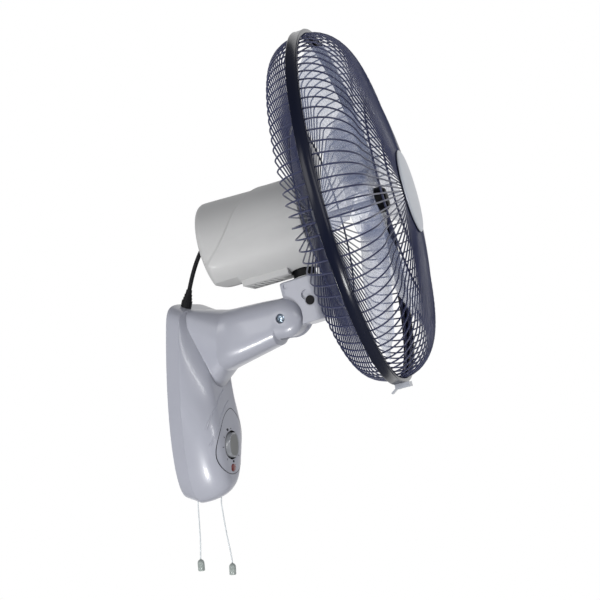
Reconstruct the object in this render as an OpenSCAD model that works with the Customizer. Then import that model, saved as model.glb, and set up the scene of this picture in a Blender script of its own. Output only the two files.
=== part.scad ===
// Wall mounted fan with a tilting, swinging head. Millimetres, +Z up.
// The origin is the middle of the base's back face, the wall is the plane Y = 0,
// and the fan faces -Y. The head stands in the pose of the photograph.

/* [Wall base] */
// Height of the base
base_h = 257; // [240:1:280]
// Greatest width of the base
base_w = 122; // [112:1:134]
// Depth of the rear shell that lies against the wall
rear_d = 22; // [18:1:27]
// Depth of the base at the control panel
front_d = 65; // [62:1:69]
// Depth of the base at its top
top_d = 28.5; // [27:0.5:33]
// Drop of the base's top from the wall to the front cover
top_drop = 7; // [4:0.5:9]
// Inset of the rear shell's wall edge from its front edge
draft = 5; // [2:0.5:7]
// Wall of the plastic covers
wall = 2.5; // [2:0.1:3.2]
// Distance between the two keyholes
keyhole_pitch = 130; // [110:1:150]
// Width of a keyhole's slot
keyhole_slot = 4.6; // [4:0.1:6]
// Diameter of a keyhole's head hole
keyhole_head = 9.5; // [8:0.1:12]
// Rise of a keyhole's slot above its head hole
keyhole_rise = 14; // [10:0.5:18]

/* [Arm] */
// Distance from the wall to the tilt axis
pivot_y = 146; // [140:1:156]
// Height of the tilt axis above the origin
pivot_z = 111; // [104:1:116]
// Width of the arm at its fork
fork_w = 51; // [46:1:56]
// Radius of the fork's round end
fork_r = 26.5; // [24:0.5:28]
// Width of the neck's lug in the fork
lug_w = 27; // [24:0.5:30]
// Radius of the neck's lug
lug_r = 23; // [21:0.5:25]
// Diameter of the tilt bolt
bolt_d = 6; // [5:0.5:8]

/* [Neck] */
// Width of the neck's block
neck_w = 40; // [36:1:44]
// Height of the neck's top above the tilt axis
neck_top = 43; // [40:0.5:46]
// Distance of the pan axis in front of the tilt axis
pan_ahead = 36; // [33:0.5:38]
// Diameter of the pan shaft
pan_shaft_d = 16; // [12:0.5:18]

/* [Head pose] */
// Nose up angle of the head at rest
rest_tilt = 15.6; // [10:0.1:18]
// Sideways angle of the head at rest
rest_pan = 11.3; // [0:0.1:20]

/* [Motor housing] */
// Height of the fan axis above the tilt axis
axis_rise = 110; // [109:1:113]
// Distance from the pan axis to the plane of the trim ring
ring_ahead = 82; // [78:1:88]
// Outer radius of the motor housing
housing_r = 58.5; // [56:0.5:60]
// Distance from the trim ring to the housing's rear end
housing_back = 193; // [186:1:198]
// Distance from the trim ring to the housing's front rim
housing_front = 58; // [56:1:64]

/* [Guards] */
// Radius of the guards' outer frame rings
guard_r = 220; // [214:1:226]
// Width of the trim ring round the guards
trim_w = 14; // [12:0.5:18]
// Number of radial wires in each guard
wire_count = 96; // [72:4:104]
// Thickness of a guard wire
wire_d = 2; // [1.6:0.1:2.4]
// Depth of the front guard at its shoulder, from the trim ring
shoulder_s = 51; // [46:1:56]
// Depth of the front guard at its middle
dome_s = 70; // [66:1:76]
// Depth of the rear guard at its shoulder
rear_s = 40; // [38:1:44]
// Depth of the rear guard at its middle
rear_mid_s = 50; // [47:1:54]
// Diameter of the front cap
cap_d = 103; // [90:1:110]

/* [Blade] */
// Clearance between the leaves' tips and the guards' rings
blade_gap = 20; // [17:1:34]
// Number of leaves
blade_count = 5; // [3:1:6]
// Thickness of a leaf
blade_t = 2; // [1.6:0.1:2.6]
// Diameter of the motor shaft
shaft_d = 8; // [7:0.5:9]

/* [Controls] */
// Diameter of the round recess under the knob
dial_d = 37; // [32:1:40]
// Length of the knob's grip
grip_l = 32; // [26:1:34]
// Turn of the knob between two positions
knob_step = 60; // [45:5:70]
// Diameter of a pull cord
cord_d = 1.6; // [1.4:0.1:2.4]
// Diameter of a cord's bell
bell_d = 9; // [7:0.5:12]
// Length of a cord's bell
bell_l = 15; // [12:0.5:18]

/* [Hidden] */

// Clearances, and the overrun of every cut
fit = 0.05;
gap = 0.3;
over = 1;

// Facets of curves
$fn = 64;
outline_n = 48;

// Places in the fan's own frame: the axis is Z, forward is positive, 0 is the trim ring
back_s = -housing_back;
pan_s = -ring_ahead;

// Colours
cool_grey = [0.69, 0.70, 0.74];
warm_grey = [0.78, 0.78, 0.77];
navy = [0.16, 0.17, 0.27];
steel = [0.75, 0.75, 0.77];
black = [0.06, 0.06, 0.07];
clear_blue = [0.66, 0.66, 0.85, 0.5];
copper = [0.72, 0.45, 0.25];

// Frames of the moving groups
module neck_frame() { translate([0, -pivot_y, pivot_z]) rotate([-rest_tilt, 0, 0]) children(); }
module head_frame() {
    neck_frame() translate([0, -pan_ahead, axis_rise]) rotate([0, 0, rest_pan]) children();
}
module fan_frame() { head_frame() translate([0, -ring_ahead, 0]) rotate([90, 0, 0]) children(); }

// A closed skin through rings of equal point counts, fanned to a point at each end
function flat(lists) = [for (list = lists) each list];
module skin(rings, first, last) {
    count = len(rings[0]);
    rows = len(rings);
    points = concat([first], flat(rings), [last]);
    function at(row, i) = 1 + row * count + (i % count);
    faces = concat(
        [for (i = [0 : count - 1]) [0, at(0, i + 1), at(0, i)]],
        [for (row = [0 : rows - 2]) for (i = [0 : count - 1]) each
            [[at(row, i), at(row, i + 1), at(row + 1, i + 1)],
             [at(row, i), at(row + 1, i + 1), at(row + 1, i)]]],
        [for (i = [0 : count - 1]) [rows * count + 1, at(rows - 1, i), at(rows - 1, i + 1)]]);
    polyhedron(points, faces);
}
function middle(ring) = [for (k = [0 : 2]) [for (p = ring) p[k]] * [for (p = ring) 1] / len(ring)];
function power(value, n) = sign(value) * pow(abs(value), n);

// Outline of the base seen from the front: half an ellipse below its widest place,
// square shoulders above. The outline shrinks by an inset.
widest_share = 0.83;
low_h = base_h * widest_share;
high_h = base_h - low_h - top_drop;
widest_z = low_h - base_h / 2;
shoulder_n = 5;
function base_outline(inset, steps = outline_n) = [for (i = [0 : steps - 1])
    let (t = 360 * i / steps, n = sin(t) < 0 ? 1 : 2 / shoulder_n)
    [(base_w / 2 - inset) * power(cos(t), n),
     widest_z + ((sin(t) < 0 ? low_h : high_h) - inset) * power(sin(t), n)]];

// Depth of the front cover's face at a height
panel_top_z = -base_h * 0.115;
panel_lean = 0.08;
face_slope = 1.1 * (front_d - panel_lean * base_h * 0.1 - top_d) / (base_h / 2 - panel_top_z);
face_bend = 0.5;
chin_share = 0.17;
chin_h = base_h * chin_share;
chin_n = 2.4;
function chin(z) = pow(1 - pow(min(max(0, 1 - (z + base_h / 2) / chin_h), 1), chin_n), 1 / chin_n);
function face_line(z) = let (low = front_d - panel_lean * (base_h * 0.1 + (z - panel_top_z)),
        up = front_d - panel_lean * base_h * 0.1 - face_slope * (z - panel_top_z),
        apart = up - low)
    (low + up - sqrt(apart * apart + 4 * face_bend * face_bend)) / 2;
function face_depth(z) = rear_d + chin(z) * (face_line(z) - rear_d);
// The face's sides are slanted above the panel and rounder beside it
edge_r = 34;
edge_top_n = 1.25;
edge_low_n = 2.6;
edge_from_z = 20;
edge_fall = 80;
function smooth(t) = t * t * (3 - 2 * t);
function edge_n(z) = mix(edge_top_n, edge_low_n, smooth(min(max((edge_from_z - z) / edge_fall, 0), 1)));
function edge_share(inset, turn, z) =
    pow(1 - pow(1 - min(max(inset / turn, 0), 1), edge_n(z)), 1 / edge_n(z));
function base_ring(inset, from, shrink) = [for (p = base_outline(inset))
    [p[0], -rear_d - edge_share(inset - from, edge_r - from, p[1]) * (face_depth(p[1]) - shrink - rear_d), p[1]]];
function scaled_ring(inset, share, shrink) =
    [for (p = base_outline(inset)) let (z = widest_z * (1 - share) + p[1] * share)
        [p[0] * share, -(face_depth(z) - shrink), z]];
function edge_ring(from, share, shrink) = base_ring(from + (edge_r - from) * share, from, shrink);

// Drilled holes and pegs along the axes
module along_y(x, y, z) { translate([x, y, z]) rotate([90, 0, 0]) children(); }
module along_x(x, y, z) { translate([x, y, z]) rotate([0, 90, 0]) children(); }

// Rear shell: a drafted cup that hangs on the wall by two keyholes, with screw bosses
root_w = base_w * 0.77;
boss_d = 9;
boss_hole_d = 3;
boss_head_d = 6;
boss_head_l = 6;
boss_top_z = base_h / 2 - base_h * 0.105;
boss_mid_z = base_h / 2 - base_h * 0.241;
boss_top_share = 0.4;
boss_mid_share = 0.235;
boss_places = [for (side = [-1, 1]) each
    [[side * root_w * boss_top_share, boss_top_z], [side * root_w * boss_mid_share, boss_mid_z]]];
lead_x = -26;
lead_y = -11;
lead_hole_d = 13.8;
module keyhole() {
    along_y(0, over, 0) {
        cylinder(d = keyhole_head, h = wall + 2 * over);
        translate([0, keyhole_rise, 0]) cylinder(d = keyhole_slot, h = wall + 2 * over);
        translate([-keyhole_slot / 2, 0, 0]) cube([keyhole_slot, keyhole_rise, wall + 2 * over]);
    }
}
module rear_shell() {
    function ring(inset, y) = [for (p = base_outline(inset)) [p[0], y, p[1]]];
    function wall_ring(inset, y) = [for (i = [0 : outline_n - 1])
        let (t = 360 * i / outline_n, low = sin(t) < 0, n = low ? 1 : 2 / shoulder_n)
        [(base_w / 2 - draft - inset) * power(cos(t), n), y,
         widest_z + ((low ? low_h - draft : high_h + top_drop) - inset) * power(sin(t), n)]];
    color(cool_grey) {
        difference() {
            skin([wall_ring(wall / 2, 0), wall_ring(0, -wall / 2), ring(0, -rear_d),
                ring(wall, -rear_d), wall_ring(wall, -wall)],
                [0, 0, widest_z], [0, -wall, widest_z]);
            for (side = [-1, 1]) translate([0, 0, side * keyhole_pitch / 2]) keyhole();
            for (place = boss_places) along_y(place[0], over, place[1])
                cylinder(d = boss_head_d + 2 * gap, h = wall + 2 * over);
            lead_place() translate([0, 0, -over]) cylinder(d = lead_hole_d + 2 * fit, h = grommet_l);
            cord_hole(speed_route);
        }
    }
}
// Posts between the shell's back and the arm's root
module screw_posts() {
    color(cool_grey) for (place = boss_places) along_y(place[0], -wall, place[1]) difference() {
        cylinder(d = boss_d, h = rear_d - wall);
        translate([0, 0, -over]) cylinder(d = boss_head_d + 2 * gap, h = boss_head_l - wall + over);
        translate([0, 0, -over]) cylinder(d = boss_hole_d + 2 * fit, h = rear_d + over);
    }
}
// Screws from behind hold the arm's root, whose lip holds the front cover
module cover_screws() {
    color(steel) for (place = boss_places) along_y(place[0], -boss_head_l + screw_head_t, place[1]) {
        cylinder(d = boss_head_d, h = screw_head_t);
        cylinder(d = boss_hole_d, h = rear_d - boss_head_l + screw_head_t + root_t - gap);
    }
}
screw_head_t = 2.2;

// Root of the arm seen from the front: a bib that ends in a round tip
root_drop = 8.5;
root_shoulder = 21.5;
root_l = base_h * 0.37;
root_tip_r = root_w * 0.234;
root_t = 3;
root_flange = 16;
root_top_z = base_h / 2 - root_drop;
root_mid_z = root_top_z - root_shoulder;
root_tip_z = root_top_z - root_l;
tip_share = 0.4;
function root_low(v, side, inset) =
    let (w = root_w / 2 - inset, r = root_tip_r - inset, centre = root_tip_z + root_tip_r, h = root_mid_z - centre,
        turn = atan2(h, w) - acos(r / norm([w, h])), a = mix(-90, turn, min(v / tip_share, 1)),
        p = [r * cos(a), centre + r * sin(a)], q = mix(p, [w, root_mid_z], max((v - tip_share) / (1 - tip_share), 0)))
    [side * q[0], q[1]];
function root_outline(inset) = [for (i = [0 : outline_n - 1])
    let (t = 360 * i / outline_n)
    sin(t) < 0 ? root_low(abs(t - 270) / 90, t < 270 ? -1 : 1, inset)
        : [(root_w / 2 - inset) * power(cos(t), 0.5), root_mid_z + (root_shoulder - inset) * power(sin(t), 0.5)]];
// Depth of the front cover's skin under a place of its front view: the inset of the
// outline through that place is found by halving
function outline_power(x, z, inset) = let (n = z < widest_z ? 2 : shoulder_n)
    pow(abs(x) / (base_w / 2 - inset), n) + pow(abs(z - widest_z) / ((z < widest_z ? low_h : high_h) - inset), n);
function inset_at(x, z, low, high, steps) = steps == 0 ? low : let (half = (low + high) / 2)
    outline_power(x, z, half) < 1 ? inset_at(x, z, half, high, steps - 1) : inset_at(x, z, low, half, steps - 1);
function skin_depth(x, z, off = 0) = rear_d
    + edge_share(inset_at(x, z, 0, edge_r * 1.05, 12) - off, edge_r - off, z) * (face_depth(z) - off - rear_d);

module root_opening(extra) {
    outline = root_outline(-extra);
    rotate([90, 0, 0]) translate([0, 0, rear_d - over])
        linear_extrude(height = front_d) polygon([for (p = outline) p]);
}

// Control panel: a curved teardrop plate let into the cover, with a cup for the knob
panel_w = base_w * 0.55;
panel_turn = 12;
panel_h = base_h * 0.327;
panel_rise = base_h * 0.156;
knob_rise = base_h * 0.144;
lamp_drop = base_h * 0.113;
panel_low_z = -base_h / 2 + panel_rise;
panel_tip_z = panel_low_z + panel_h;
panel_t = wall;
frame_t = 1.6;
frame_gap = 0.8;
ledge = 3;
groove = 0.4;
knob_z = panel_low_z + knob_rise;
lamp_z = knob_z - lamp_drop;
function panel_outline(inset) = [for (i = [0 : outline_n - 1])
    let (t = 360 * i / outline_n - 90, r = panel_w / 2 - inset, up = sin(t) > 0,
        h = panel_tip_z - panel_low_z - panel_w / 2 - inset)
    [r * cos(t) * (up ? pow(cos(t) * cos(t), 0.18) : 1), up ? h * sin(t) : r * sin(t)]
        * [[cos(panel_turn), -sin(panel_turn)], [sin(panel_turn), cos(panel_turn)]]];
lean_angle = atan(panel_lean);
module panel_place(z) { translate([0, -face_depth(z), z]) rotate([90 - lean_angle, 0, 0]) children(); }
function panel_ring(inset, share, off) = [for (p = panel_outline(inset))
    let (x = p[0] * share, z = panel_mid_z + p[1] * share) [x, -skin_depth(x, z, off), z]];
panel_mid_z = panel_low_z + panel_w / 2;
// A plate between two depths under the cover's skin
module panel_plate(inset, under, upper) {
    shares = [0.4, 0.75, 1];
    skin(concat([for (share = shares) panel_ring(inset, share, under)],
        [for (i = [2 : -1 : 0]) panel_ring(inset, shares[i], upper)]),
        [0, -skin_depth(0, panel_mid_z, under), panel_mid_z], [0, -skin_depth(0, panel_mid_z, upper), panel_mid_z]);
}
module panel_prism(inset) {
    along_y(0, 0, panel_mid_z) linear_extrude(height = front_d * 2) polygon(panel_outline(inset));
}
module knob_place() { panel_place(knob_z) children(); }
face_shares = [0.86, 0.7, 0.54, 0.38, 0.2];
module cover_layer(inner, outer) {
    skin(concat(
        [for (i = [4 : -1 : 0]) scaled_ring(edge_r, face_shares[i], inner)],
        [for (share = [1, 0.7, 0.45, 0.25, 0.1, 0]) edge_ring(inner, share, inner)],
        [for (share = [0, 0.04, 0.12, 0.25, 0.45, 0.7, 1]) edge_ring(outer, share, outer)],
        [for (share = face_shares) scaled_ring(edge_r, share, outer)]),
        [0, -face_depth(widest_z) + inner, widest_z], [0, -face_depth(widest_z) + outer, widest_z]);
}
module front_cover() {
    color(cool_grey) difference() {
        cover_layer(wall, 0);
        root_opening(gap);
        panel_prism(0);
        for (route = [speed_route, swing_route]) cord_hole(route);
    }
}
// Frame behind the joint of the cover and the control panel
module panel_frame() {
    color(cool_grey) difference() {
        panel_plate(-ledge, wall + frame_gap + frame_t, wall + frame_gap);
        panel_prism(ledge);
        lamp_hole(lamp_gap);
    }
}
module lamp_hole(extra) {
    panel_place(lamp_z) translate([0, 0, -3 * panel_t]) scale([lamp_slim, 1, 1])
        cylinder(d = lamp_h + 2 * extra, h = 5 * panel_t);
}
cup_wall = 1.6;
cup_depth = 7;
cup_floor = 2;
module control_panel() {
    color(cool_grey) difference() {
        panel_plate(groove, panel_t, 0);
        knob_place() translate([0, 0, -3 * panel_t]) cylinder(d = dial_d + 2 * cup_wall + 2 * fit, h = 5 * panel_t);
        lamp_hole(0);
    }
}
cup_rim = 1.2;
cup_drop = 1;
// Round cup let into the panel, in which the knob turns
module knob_cup() {
    color(cool_grey) knob_place() difference() {
        union() {
            translate([0, 0, -cup_depth - cup_floor]) cylinder(d = dial_d + 2 * cup_wall, h = cup_depth + cup_floor);
            translate([0, 0, -cup_depth - cup_floor])
                cylinder(d = dial_d + 2 * cup_wall + 2 * cup_rim, h = cup_depth + cup_floor - panel_t - cup_drop);
        }
        translate([0, 0, -cup_depth]) cylinder(d = dial_d, h = cup_depth + over);
        translate([0, 0, -cup_depth - cup_floor - over]) cylinder(d = stem_d + 2 * gap, h = cup_floor + 2 * over);
    }
}
lamp_h = 10.4;
lamp_slim = 0.62;
lamp_l = 8;
lamp_proud = 0.5;
lamp_gap = 1;
module indicator_lens() {
    color([0.7, 0.1, 0.05]) panel_place(lamp_z) translate([0, 0, lamp_proud - lamp_l])
        scale([lamp_slim, 1, 1]) cylinder(d = lamp_h - 2 * fit, h = lamp_l);
}

// Speed knob: a grip bar on a round disc, turning on the switch's stem
stem_d = 6;
knob_proud = 7;
knob_disc_t = 1.6;
knob_w = 13;
module speed_knob() {
    color([0.6, 0.6, 0.6]) knob_place() difference() {
        union() {
            translate([0, 0, gap - cup_depth]) cylinder(d = dial_d - 4 * gap, h = knob_disc_t);
            intersection() {
                translate([0, 0, gap - cup_depth]) cylinder(d = grip_l, h = cup_depth + knob_proud - gap);
                translate([-knob_w / 2, -grip_l / 2, gap - cup_depth]) cube([knob_w, grip_l, cup_depth + knob_proud]);
            }
        }
        translate([0, 0, -cup_depth]) cylinder(d = stem_d + 2 * fit, h = cup_depth);
    }
}
switch_d = 30;
switch_l = 13;
module speed_switch() {
    color(black) knob_place() {
        translate([0, 0, -cup_depth - cup_floor - switch_l]) cylinder(d = switch_d, h = switch_l);
        translate([0, 0, -cup_depth - cup_floor - over]) cylinder(d = stem_d, h = cup_depth + cup_floor + over - gap);
    }
}

// Arm: a hollow bar from the bib on the base to the fork round the tilt bolt
arm_n = 2.6;
lip = 1.4;
lip_over = 2;
// Stations of the arm: share of the way from the base's face to the tilt axis, then the
// half width, the top and the bottom as shares of the way from the root to the fork
station_shares = [[0.10, 0.62, 0.10, 0.31], [0.22, 0.34, 0.22, 0.40], [0.40, 0.17, 0.42, 0.53],
    [0.62, 0.09, 0.66, 0.69], [0.88, 0.03, 0.90, 0.88], [0.90, 0.02, 0.92, 0.98], [1.00, 0, 1, 1]];
arm_start = 54;
fork_clear = 2;
slot_back = 6;
fork_z = pivot_z;
function mix(a, b, share) = a + (b - a) * share;
function arm_section(y, w, top, bottom) = [for (i = [0 : outline_n - 1])
    let (t = 360 * i / outline_n)
    [w * power(cos(t), 2 / arm_n), -y, (top + bottom) / 2 + (top - bottom) / 2 * power(sin(t), 2 / arm_n)]];
function arm_station(row, inset) = arm_section(mix(arm_start, pivot_y, row[0]),
    mix(fork_w / 2, root_w / 2, row[1]) - inset,
    mix(root_top_z, fork_z + fork_r, row[2]) - inset,
    mix(root_tip_z, fork_z - fork_r, row[3]) + inset);
function root_ring(inset, lift) = [for (p = root_outline(inset)) [p[0], -skin_depth(p[0], p[1]) - lift, p[1]]];
function root_flat(inset, y) = [for (p = root_outline(inset)) [p[0], -y, p[1]]];
function fork_ring(angle) = arm_section(pivot_y + fork_r * sin(angle), fork_w / 2 * pow(cos(angle * 0.9), 0.3),
    fork_z + fork_r * cos(angle), fork_z - fork_r * cos(angle));
module arm() {
    inner = [for (i = [3 : -1 : 0]) arm_station(station_shares[i], wall + lip / 2)];
    outer = [for (row = station_shares) arm_station(row, 0)];
    tip_rings = [for (angle = [22, 42, 60, 74, 84]) fork_ring(angle)];
    slot_w = lug_w + 2 * gap;
    color(cool_grey) difference() {
        skin(concat(inner, [root_ring(2 * wall, 0), root_flat(2 * wall, rear_d + root_t),
            root_flat(root_flange, rear_d + root_t), root_flat(root_flange, rear_d)],
            [root_flat(0, rear_d), root_ring(0, gap), root_ring(-lip_over, gap), root_ring(gap - lip_over, lip)], outer, tip_rings),
            middle(inner[0]), [0, -pivot_y - fork_r, fork_z]);
        along_x(-slot_w / 2, -pivot_y, fork_z) cylinder(r = lug_r + over, h = slot_w);
        intersection() {
            along_x(-slot_w / 2, -pivot_y, fork_z) cylinder(r = fork_r + fork_clear, h = slot_w);
            translate([-slot_w, -pivot_y - 2 * fork_r, fork_z - 2 * fork_r]) cube([2 * slot_w, 2 * fork_r + slot_back, 4 * fork_r]);
        }
        along_x(-fork_w, -pivot_y, fork_z) cylinder(d = bolt_d + 2 * fit, h = 2 * fork_w);
        for (x = [-fork_w / 2 - over, fork_w / 2 - bolt_head_t - bolt_sink]) along_x(x, -pivot_y, fork_z)
            cylinder(d = bolt_head_d + 2 * gap, h = bolt_head_t + bolt_sink + over);
        for (place = boss_places) along_y(place[0], -rear_d + over, place[1])
            cylinder(d = boss_hole_d + 2 * fit, h = root_t + 2 * over);
    }
}
bolt_head_d = 11.7;
bolt_head_t = 3;
bolt_sink = 1;
module tilt_bolt() {
    color(steel) along_x(-fork_w / 2 + bolt_sink, -pivot_y, fork_z) {
        cylinder(d = bolt_head_d, h = bolt_head_t);
        cylinder(d = bolt_d, h = fork_w - 2 * bolt_sink - gap);
    }
}
module tilt_nut() {
    color(steel) along_x(fork_w / 2 - bolt_head_t - bolt_sink, -pivot_y, fork_z) difference() {
        cylinder(d = bolt_head_d - gap, h = bolt_head_t, $fn = 6);
        translate([0, 0, -over]) cylinder(d = bolt_d + 2 * fit, h = bolt_head_t + 2 * over);
    }
}

// Neck bracket: a round lug in the fork and a block that carries the pan shaft
function rounded(w, d, r) = flat([for (c = [[1, 1, 0], [-1, 1, 90], [-1, -1, 180], [1, -1, 270]])
    [for (a = [0 : 15 : 90]) [c[0] * (w / 2 - r) + r * cos(c[2] + a), c[1] * (d / 2 - r) + r * sin(c[2] + a)]]]);
neck_rear = -5;
neck_front = -54;
neck_foot = -14;
plug_d = 11.4;
plug_in = 1;
plug_y = -pan_ahead - pan_shaft_d / 2 + plug_in;
plug_z = 12;
plug_t = 2.6;
plug_sink = 4;
lock_d = 3;
lock_head_d = 5.6;
lock_head_t = 2;
shaft_foot = 3;
neck_round = 8;
module neck_bracket() {
    color(cool_grey) neck_frame() difference() {
        union() {
            along_x(-lug_w / 2, 0, 0) cylinder(r = lug_r, h = lug_w);
            difference() {
                translate([0, (neck_rear + neck_front) / 2, neck_foot]) linear_extrude(height = neck_top - neck_foot)
                    polygon(rounded(neck_w, neck_rear - neck_front, neck_round));
                for (x = [-lug_w / 2 - neck_w, lug_w / 2]) along_x(x, 0, 0) cylinder(r = fork_r + fork_clear, h = neck_w);
            }
        }
        translate([0, -pan_ahead, shaft_foot]) cylinder(d = pan_shaft_d + 2 * fit, h = neck_top);
        along_x(-neck_w, 0, 0) cylinder(d = bolt_d + 2 * fit, h = neck_w * 2);
        along_x(-neck_w / 2 - over, plug_y, plug_z) cylinder(d = plug_d, h = plug_sink + over);
        along_x(-neck_w / 2, plug_y, plug_z) cylinder(d = lock_d + 2 * fit, h = neck_w - wall);
    }
}
module side_plug() {
    color(black) neck_frame() along_x(-neck_w / 2 + plug_sink - lock_head_t - plug_t, plug_y, plug_z)
        cylinder(d = plug_d - 2 * fit, h = plug_t);
}
module pan_lock_screw() {
    color(steel) neck_frame() along_x(-neck_w / 2 + plug_sink - lock_head_t, plug_y, plug_z) {
        cylinder(d = lock_head_d, h = lock_head_t);
        cylinder(d = lock_d, h = neck_w - 2 * plug_sink);
    }
}
washer_t = 1;
washer_rim = 7;
shaft_rim = 6;
module pan_washer() {
    color("white") neck_frame() translate([0, -pan_ahead, neck_top]) difference() {
        cylinder(d = pan_shaft_d + 2 * washer_rim, h = washer_t);
        translate([0, 0, -over]) cylinder(d = pan_shaft_d + 4 * fit, h = washer_t + 2 * over);
    }
}
plate_t = 4;
plate_clear = 0.3;
module pan_shaft() {
    boss_z = neck_top + washer_t + fit;
    boss_l = axis_rise - motor_r - plate_clear - plate_t - boss_z;
    color(steel) neck_frame() translate([0, -pan_ahead, 0]) {
        difference() {
            translate([0, 0, shaft_foot + gap]) cylinder(d = pan_shaft_d, h = boss_z - shaft_foot);
            translate([0, 0, plug_z - lock_d / 2 - gap]) difference() {
                cylinder(d = pan_shaft_d + over, h = lock_d + 2 * gap);
                translate([0, 0, -over]) cylinder(d = pan_shaft_d - 2 * lock_d + gap, h = lock_d + 2 * over + 2 * gap);
            }
        }
        translate([0, 0, boss_z]) cylinder(d = pan_shaft_d + 2 * shaft_rim, h = boss_l);
    }
}

// Motor, seen along the fan's axis, forward up. Its front shield pokes through the
// housing's web and carries the rear guard on a threaded boss.
motor_r = 46;
stator_l = 28;
stator_back = 4;
stator_s = pan_s - stator_back;
winding_l = 10;
winding_in = 8;
winding_out = 4;
shield_t = 3;
shield_wall = 3;
front_face = -housing_front + 1;
rear_room = 24;
rear_face = stator_s - stator_l / 2 - rear_room;
module ring_solid(r_out, r_in, from, to) {
    translate([0, 0, from]) difference() {
        cylinder(r = r_out, h = to - from);
        translate([0, 0, -over]) cylinder(r = r_in, h = to - from + 2 * over);
    }
}
gear_w = 48;
shaft_clear = 1;
gear_top = 20;
gear_l = 27;
plate_w = 32;
plate_front = pan_s + 15;
module swing_gearbox() {
    floor_y = -motor_r - plate_clear;
    color(steel) fan_frame() {
        difference() {
            translate([-gear_w / 2, floor_y, rear_face - gear_l]) cube([gear_w, gear_top - floor_y, gear_l]);
            translate([0, 0, shaft_back - over]) cylinder(d = shaft_d + 2 * shaft_clear, h = gear_l + 2 * over);
        }
        translate([-plate_w / 2, floor_y - plate_t, rear_face - gear_l])
            cube([plate_w, plate_t, plate_front - rear_face + gear_l]);
    }
}
rotor_r = 22;
air_gap = 0.4;
module stator_core() {
    color([0.45, 0.45, 0.47]) fan_frame()
        ring_solid(motor_r, rotor_r + air_gap, stator_s - stator_l / 2, stator_s + stator_l / 2);
}
module stator_windings() {
    color(copper) fan_frame() for (from = [stator_s + stator_l / 2, stator_s - stator_l / 2 - winding_l])
        ring_solid(motor_r - winding_in, rotor_r + winding_out, from, from + winding_l);
}
module rotor_core() {
    color([0.5, 0.5, 0.52]) fan_frame()
        ring_solid(rotor_r, shaft_d / 2, stator_s - stator_l / 2, stator_s + stator_l / 2);
}
shaft_front = 33;
shaft_tail = 16;
shaft_back = rear_face - shaft_tail;
module motor_shaft() {
    color(steel) fan_frame() translate([0, 0, shaft_back]) cylinder(d = shaft_d, h = shaft_front - shaft_back);
}
bush_r = 8;
bush_l = 12;
boss_r = 14;
step_r = 20;
step_l = 5;
thread_l = 14;
flange_r = 50;
module front_end_shield() {
    color([0.8, 0.8, 0.8]) fan_frame() {
        ring_solid(motor_r, motor_r - shield_wall, stator_s + stator_l / 2, front_face);
        ring_solid(flange_r, motor_r - shield_wall / 2, -housing_front - web_t - flange_t, -housing_front - web_t);
        ring_solid(motor_r - shield_wall / 2, bush_r, front_face - shield_t, front_face);
        ring_solid(step_r, bush_r, front_face - over, front_face + step_l);
        ring_solid(boss_r, bush_r, front_face, front_face + step_l + thread_l);
    }
}
flange_t = 3;
web_t = 3;
module rear_end_shield() {
    color([0.8, 0.8, 0.8]) fan_frame() {
        ring_solid(motor_r, motor_r - shield_wall, rear_face, stator_s - stator_l / 2);
        ring_solid(motor_r - shield_wall / 2, bush_r, rear_face, rear_face + shield_t);
        ring_solid(bush_r + shield_t, bush_r, rear_face, rear_face + bush_l);
    }
}
module front_bush() {
    color([0.7, 0.5, 0.3]) fan_frame()
        ring_solid(bush_r, shaft_d / 2 + fit, front_face + step_l + thread_l - bush_l, front_face + step_l + thread_l);
}
module rear_bush() {
    color([0.7, 0.5, 0.3]) fan_frame() ring_solid(bush_r, shaft_d / 2 + fit, rear_face, rear_face + bush_l);
}

// Motor housing: a deep cup round the motor with a flat underside behind, a vented
// lip below and a hole for the pan boss
housing_wall = 2.4;
housing_round = 9;
flat_y = -48;
flat_s = back_s + 35;
lip_y = -60;
lip_w = 52;
lip_top = -52;
lip_back = back_s + 37;
lip_front = pan_s - 14;
vent_n = 6;
vent_w = 36;
vent_l = 4;
vent_pitch = 7;
boss_gap = 3;
module housing_profile(inset) {
    r = housing_r - inset;
    turn = housing_round - inset;
    polygon(concat([[0, -housing_front], [0, back_s + inset]],
        [for (a = [0 : 15 : 90]) [r - turn * (1 - sin(a)), back_s + housing_round - turn * cos(a)]],
        [[r, -housing_front]]));
}
module housing_body(inset) {
    difference() {
        rotate_extrude($fn = 96) housing_profile(inset);
        translate([-housing_r, flat_y + inset - housing_r, back_s - over])
            cube([2 * housing_r, housing_r, flat_s - back_s + inset + over]);
    }
}
module motor_housing() {
    color(warm_grey) fan_frame() difference() {
        union() {
            housing_body(0);
            translate([-lip_w / 2, lip_y, lip_back]) cube([lip_w, lip_top - lip_y, lip_front - lip_back]);
        }
        difference() {
            housing_body(housing_wall);
            translate([0, 0, -housing_front - web_t]) cylinder(r = housing_r, h = web_t + over);
        }
        translate([0, 0, -housing_front - web_t - over]) cylinder(r = motor_r + fit, h = web_t + 2 * over);
        translate([0, -housing_r, pan_s]) rotate([90, 0, 0]) translate([0, 0, -plate_t * 2])
            cylinder(d = pan_shaft_d + 2 * shaft_rim + 2 * boss_gap, h = plate_t * 4);
        for (i = [0 : vent_n - 1]) translate([-vent_w / 2, lip_y - over, lip_back + vent_l + i * vent_pitch])
            cube([vent_w, lip_top - lip_y, vent_l]);
        translate([0, grommet_y, back_s - over]) cylinder(d = grommet_d, h = housing_wall + 2 * over);
    }
}

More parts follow.
